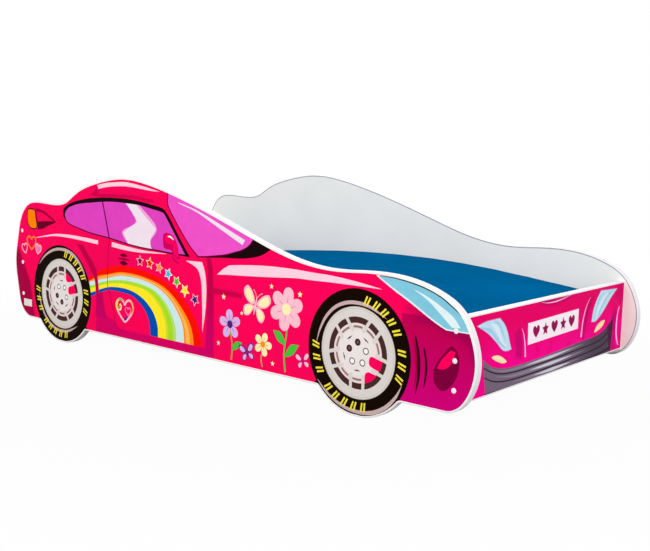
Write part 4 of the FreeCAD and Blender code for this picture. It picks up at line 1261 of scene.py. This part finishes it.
# Painted shade: a thin grey strip beside each band on a board's inner face, for the seam's shadow.
SEAM_SHADE_FROM = 0.02
SEAM_SHADE_TO = 2.0
SEAM_SHADE_PROUD = 0.08
seam_shade_finish = white_plastic("painted_seam_shade", (138, 141, 147), (152, 155, 160), 0.5)


def seam_shade_strip(name, loop, inner_face, out):
    rings = [trimmed(loop, margin) for margin in (SEAM_SHADE_FROM, SEAM_SHADE_TO)]
    points = [
        (x * MM, inner_face + out * height * MM, z * MM)
        for height in (-FILM_SUNK, SEAM_SHADE_PROUD)
        for ring in rings
        for x, z in ring
    ]
    count = len(loop)
    faces = [
        [first * count + i, first * count + j, second * count + j, second * count + i]
        for i, j in closed_pairs(list(range(count)))
        for first, second in ((0, 1), (1, 3), (3, 2), (2, 0))
    ]
    mesh = bpy.data.meshes.new(name)
    mesh.from_pydata(points, [], faces)
    mesh.materials.append(seam_shade_finish)
    turn_faces_out(mesh)
    line = new_piece(mesh)
    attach(line, "bedstead")


# Painted shade along the seam between band and board, on both side boards' inner faces.
seam_shade_strip("near_inner_seam_shade", near_loops[0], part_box("near_side_panel")[1].y, 1)
seam_shade_strip("far_inner_seam_shade", near_loops[0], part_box("far_side_panel")[0].y, -1)

# Corner joints: three steel screws and two beech dowels pull and hold each end board,
# and white plastic caps press into the screws' holes.
zinc = Finish("zinc_plated_steel")
zinc.shader.inputs["Metallic"].default_value = 1.0
zinc_stain = zinc.noise(160, 4)
zinc.colour(zinc.between(zinc_stain, (176, 180, 186), (204, 206, 210)))
zinc.gloss(zinc.spread(zinc_stain, 0.24, 0.42))
zinc.relief(zinc.noise(2400, 2), 0.00002)
dress(zinc.material, *(name for name in nodes if name.endswith("_screws")))


def timber(name, light, dark, grain):
    """Planed timber: growth rings stretched along the grain, with pores and a dry gloss."""
    wood = Finish(name)
    rings = wood.node("TexWave", Scale=2.2, Distortion=7.0, Detail=3.0)
    rings.inputs["Detail Scale"].default_value = 1.2
    wood.join(wood.place(grain), rings.inputs["Vector"])
    fibre = wood.noise(6, 5, 0.6, tuple(g * 9 for g in grain))
    fibre_share = wood.maths("MULTIPLY", fibre, 0.45)
    tone = wood.maths("MULTIPLY_ADD", rings.outputs["Fac"], 0.55, fibre_share)
    wood.colour(wood.between(tone, light, dark, 0.15, 0.85))
    wood.gloss(wood.spread(fibre, 0.52, 0.7))
    wood.relief(fibre, 0.00012)
    return wood.material


beech = timber("beech", (222, 184, 140), (196, 150, 104), (40, 5, 40))
dress(beech, *(name for name in nodes if name.endswith("_dowels")))

# Cover caps: a pin that presses into the screw's socket, under a low domed head. The pin
# is in millimetres, the head in shares of its own width and height.
CAP_WIDTH = 10.6
CAP_HEIGHT = 1.7
CAP_SIDES = 32
CAP_PIN = [(1.9, -2.4), (1.9, 0)]
CAP_HEAD = [
    (0.485, 0), (0.5, 0.12), (0.5, 0.3), (0.485, 0.46), (0.44, 0.66),
    (0.36, 0.82), (0.25, 0.93), (0.12, 0.985), (0, 1),
]
CAD_CAP_HEIGHT = 1.8
BETWEEN_CAPS = 20
cap_plastic = white_plastic("white_cap_plastic", (238, 230, 236), (232, 223, 231), 0.28)


def domed_caps(node_name, outward):
    """Turns one cap for each hole of a corner: the middle of each CAD cap gives its place."""
    group = []
    for spot in sorted((v.co for v in nodes[node_name].data.vertices), key=lambda co: co.z):
        if not group or spot.z - group[-1][-1].z > BETWEEN_CAPS * MM:
            group.append([])
        group[-1].append(spot)
    profile = CAP_PIN + [(reach * CAP_WIDTH, rise * CAP_HEIGHT) for reach, rise in CAP_HEAD]
    shape = bmesh.new()
    for cap in group:
        low, high = (Vector([end(v[i] for v in cap) for i in range(3)]) for end in (min, max))
        middle = (low + high) / 2
        face = (high.y if outward > 0 else low.y) - outward * CAD_CAP_HEIGHT * MM
        rings = []
        for radius, rise in profile:
            sides = CAP_SIDES if radius else 1
            ring = [polar((middle.x, middle.z), radius * MM, 360 * i / sides) for i in range(sides)]
            rings.append([shape.verts.new((x, face + outward * rise * MM, z)) for x, z in ring])
        shape.faces.new(rings[0])
        for below, above in zip(rings, rings[1:]):
            for i, j in closed_pairs(list(range(CAP_SIDES))):
                over = [above[j], above[i]] if len(above) > 1 else above
                shape.faces.new([below[i], below[j], *over])
    for face in shape.faces:
        face.smooth = True
    mesh = bpy.data.meshes.new(node_name.replace("_cover_caps", "_domed_caps"))
    shape.to_mesh(mesh)
    shape.free()
    turn_faces_out(mesh)
    mesh.set_sharp_from_angle(angle=math.radians(50))
    mesh.materials.append(cap_plastic)
    caps = new_piece(mesh)
    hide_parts(node_name)
    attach(caps, "bedstead")


for cap_node in sorted(name for name in nodes if name.endswith("_cover_caps")):
    domed_caps(cap_node, -1 if cap_node.startswith("near") else 1)

# Battens: two planed pine strips screwed along the side boards, which carry the slats.
# They are a warm yellow pine, left unfinished like the slats.
batten_pine = timber("batten_pine", (238, 214, 168), (214, 176, 120), (4, 34, 34))
dress(batten_pine, "near_batten", "far_batten")

# Slats: thirteen pine boards laid across the battens, spaced by two polypropylene
# webbing straps stapled under them, with the two end slats screwed down.
slat_pine = timber("slat_pine", (240, 217, 172), (216, 180, 126), (34, 4, 34))
dress(slat_pine, *(f"slat_{number:02}" for number in range(1, 14)))
webbing = Finish("woven_webbing", roughness=0.8)
weave = webbing.node("TexWave", Scale=420.0, Distortion=0.4)
webbing.join(webbing.place(), weave.inputs["Vector"])
webbing.colour(webbing.between(weave.outputs["Fac"], (224, 222, 214), (242, 241, 236)))
webbing.relief(weave.outputs["Fac"], 0.00015)
dress(webbing.material, "near_webbing_strap", "far_webbing_strap")
dress(zinc.material, "webbing_staples")

# Mattress: a foam core in a smooth royal blue polycotton cover, highest in the middle
# where the foam is full and pulled in along its long sides.
blue_cloth = Finish("royal_blue_cloth", roughness=0.9, specular=0.0)
threads = []
for way in ("X", "Y"):
    yarn = blue_cloth.node("TexWave", bands_direction=way, Scale=700.0, Distortion=0.3)
    blue_cloth.join(blue_cloth.place(), yarn.inputs["Vector"])
    threads.append(yarn.outputs["Fac"])
cloth_weave = blue_cloth.maths("MULTIPLY", *threads)
cloth_blue = blue_cloth.between(blue_cloth.noise(6, 4), (0, 90, 140), (0, 100, 156))
blue_cloth.colour(blue_cloth.between(cloth_weave, cloth_blue, (0, 104, 162), 0.0, 1.6))
blue_cloth.relief(cloth_weave, 0.0002)
dress(blue_cloth.material, "mattress_cover", "mattress_foam")

# Metres, and the pressure that plumps the cover.
CLOTH_GRAIN = 0.01
SHRUNK = 0.002
PLUMP = 4.0
PLUMP_FRAMES = 20
SWELL = 0.0035
BAY_SLACK = 0.001
FULLER = 0.0088
FULLER_FROM, FULLER_TO = -0.25, 0.38
FULLER_DEPTH = 0.08


def outer_shell(node_name):
    """The outside of a hollow piece, as a mesh of its own."""
    hollow = bmesh.new()
    hollow.from_mesh(nodes[node_name].data)
    bmesh.ops.remove_doubles(hollow, verts=hollow.verts, dist=1e-5)
    shells, left = [], set(hollow.faces)
    while left:
        queue = [left.pop()]
        shell = list(queue)
        while queue:
            for edge in queue.pop().edges:
                found = [face for face in edge.link_faces if face in left]
                left.difference_update(found)
                queue += found
                shell += found
        shells.append(shell)
    reach = lambda shell: max(v.co.x for f in shell for v in f.verts)
    outside = set(max(shells, key=reach))
    inside = [face for face in hollow.faces if face not in outside]
    bmesh.ops.delete(hollow, geom=inside, context="FACES")
    mesh = bpy.data.meshes.new("stuffed_mattress")
    hollow.to_mesh(mesh)
    hollow.free()
    return mesh


def stuffed_mattress():
    """The cover, blown up by the foam: it fills out between its edges and stays in its bay."""
    low, high = (Vector(corner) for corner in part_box("mattress_cover"))
    middle, half = np.array((low + high) / 2), np.array((high - low) / 2)
    body = new_piece(outer_shell("mattress_cover"))
    bpy.context.view_layer.objects.active = body

    def settle(kind, **settings):
        made = body.modifiers.new("step", kind)
        for key, value in settings.items():
            setattr(made, key, value)
        return made

    def keep_shape():
        depsgraph = bpy.context.evaluated_depsgraph_get()
        done = bpy.data.meshes.new_from_object(body.evaluated_get(depsgraph))
        body.modifiers.clear()
        body.data = done

    def read_places():
        flat = np.empty(len(body.data.vertices) * 3)
        body.data.vertices.foreach_get("co", flat)
        return flat.reshape(-1, 3)

    settle("REMESH", mode="VOXEL", voxel_size=CLOTH_GRAIN)
    keep_shape()
    places = read_places()
    inner = middle + (places - middle) * (1 - SHRUNK / half)
    body.data.vertices.foreach_set("co", inner.ravel())
    cloth = settle("CLOTH")
    cloth.settings.use_pressure = True
    cloth.settings.uniform_pressure_force = PLUMP
    cloth.settings.quality = 5
    cloth.settings.effector_weights.gravity = 0
    cloth.collision_settings.use_collision = False
    for number in range(1, PLUMP_FRAMES + 1):
        bpy.context.scene.frame_set(number)
    keep_shape()
    bpy.context.scene.frame_set(1)
    moved = read_places() - places
    length = np.linalg.norm(moved, axis=1, keepdims=True)
    places = places + moved * np.minimum(1, SWELL / np.maximum(length, 1e-9))
    bay_low = np.array(low) - (BAY_SLACK, BAY_SLACK, 0)
    bay_high = np.array(high) + (BAY_SLACK, BAY_SLACK, np.inf)
    places = np.clip(places, bay_low, bay_high)
    along = np.clip((places[:, 0] - FULLER_FROM) / (FULLER_TO - FULLER_FROM), 0, 1)
    upper = np.clip((places[:, 2] - low.z) / FULLER_DEPTH, 0, 1)
    places[:, 2] += FULLER * along * along * (3 - 2 * along) * upper
    body.data.vertices.foreach_set("co", places.ravel())
    settle("SUBSURF", levels=1, render_levels=1)
    keep_shape()
    for face in body.data.polygons:
        face.use_smooth = True
    body.data.materials.clear()
    body.data.materials.append(blue_cloth.material)
    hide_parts("mattress_cover", "mattress_foam")
    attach(body, "mattress")


stuffed_mattress()


# Studio: a white floor and backdrop, a broad soft light overhead and three more round
# the bed: at its near side, off its foot and behind its head.
def looked_at(tree):
    """1 where the eye looks straight on, off a gloss or through glass, 0 where light falls."""
    rays = tree.nodes.new("ShaderNodeLightPath").outputs
    share = rays["Is Camera Ray"]
    for kind in ("Is Glossy Ray", "Is Transmission Ray"):
        either = tree.nodes.new("ShaderNodeMath")
        either.operation = "MAXIMUM"
        tree.links.new(share, either.inputs[0])
        tree.links.new(rays[kind], either.inputs[1])
        share = either.outputs[0]
    return share


FLOOR_REACH = 12.0
FLOOR_GREY = 0.45
GLOW_UNDER_BED, GLOW_BEYOND = 0.97, 1.0
SHADOW_TO, PLAIN_FROM = 0.9, 1.7
floor_finish = Finish("studio_floor", roughness=0.9, specular=0.0)
floor_finish.shader.inputs["Base Color"].default_value = (FLOOR_GREY, FLOOR_GREY, FLOOR_GREY, 1)
white_glow = floor_finish.node("Emission", Strength=1.0)
span = floor_finish.node("VectorMath", operation="LENGTH")
floor_finish.join(floor_finish.place(), span.inputs[0])
fade = floor_finish.spread(
    span.outputs["Value"], GLOW_UNDER_BED, GLOW_BEYOND, SHADOW_TO, PLAIN_FROM
)
floor_mix = floor_finish.node("MixShader")
for out, into in (
    (floor_finish.maths("MULTIPLY", looked_at(floor_finish.tree), fade), floor_mix.inputs[0]),
    (floor_finish.shader.outputs[0], floor_mix.inputs[1]),
    (white_glow.outputs[0], floor_mix.inputs[2]),
    (floor_mix.outputs[0], floor_finish.tree.nodes["Material Output"].inputs["Surface"]),
):
    floor_finish.join(out, into)
floor_mesh = bpy.data.meshes.new("studio_floor")
corners = ((-1, -1), (1, -1), (1, 1), (-1, 1))
floor_spots = [(x * FLOOR_REACH, y * FLOOR_REACH, 0) for x, y in corners]
floor_mesh.from_pydata(floor_spots, [], [(0, 1, 2, 3)])
floor_mesh.materials.append(floor_finish.material)
floor = new_piece(floor_mesh)

DAYLIGHT = 0.53
world = bpy.data.worlds.new("studio")
bpy.context.scene.world = world
world.use_nodes = True
sky = world.node_tree
backdrop = sky.nodes["Background"]
backdrop.inputs["Color"].default_value = (1, 1, 1, 1)
level = sky.nodes.new("ShaderNodeMapRange")
level.inputs["To Min"].default_value = DAYLIGHT
level.inputs["To Max"].default_value = 1.0
sky.links.new(looked_at(sky), level.inputs["Value"])
sky.links.new(level.outputs["Result"], backdrop.inputs["Strength"])

BED_MIDDLE = Vector((0, 0, 0.2))


def soft_light(name, place, size, power):
    """A rectangular lamp behind a diffuser, turned to the middle of the bed."""
    lamp = bpy.data.lights.new(name, "AREA")
    lamp.shape = "RECTANGLE"
    lamp.size, lamp.size_y = size
    lamp.energy = power
    holder = bpy.data.objects.new(name, lamp)
    holder.location = place
    to_bed = BED_MIDDLE - Vector(place)
    holder.rotation_euler = to_bed.to_track_quat("-Z", "Y").to_euler()
    bpy.context.scene.collection.objects.link(holder)


soft_light("overhead_softbox", (0.2, 0.0, 3.2), (3.6, 2.6), 14)
soft_light("front_softbox", (0.5, -3.8, 2.2), (3.4, 2.2), 104)
soft_light("foot_softbox", (4.2, -0.6, 1.9), (2.2, 2.0), 72)
soft_light("rear_softbox", (-2.4, 3.0, 2.2), (3.0, 2.2), 78)

# Camera: at a standing adult's waist, off the bed's near front corner. It is held a
# degree off level and looks a little down.
CAMERA_PLACE = Vector((1.6293, -1.828, 0.5377))
TURN, DIP, ROLL = math.radians(40.367), math.radians(7.761), math.radians(-1.217)
ahead = Vector((-math.sin(TURN) * math.cos(DIP), math.cos(TURN) * math.cos(DIP), -math.sin(DIP)))
level_right = Vector((math.cos(TURN), math.sin(TURN), 0))
level_down = ahead.cross(level_right)
right = math.cos(ROLL) * level_right + math.sin(ROLL) * level_down
down = -math.sin(ROLL) * level_right + math.cos(ROLL) * level_down
camera_data = bpy.data.cameras.new("camera")
camera_data.lens = 52.64
camera_data.sensor_width = 36.0
camera = bpy.data.objects.new("camera", camera_data)
facing = Matrix((right, -down, -ahead)).transposed().to_4x4()
camera.matrix_world = Matrix.Translation(CAMERA_PLACE) @ facing
bpy.context.scene.collection.objects.link(camera)
bpy.context.scene.camera = camera
bpy.context.scene.view_settings.view_transform = "Standard"
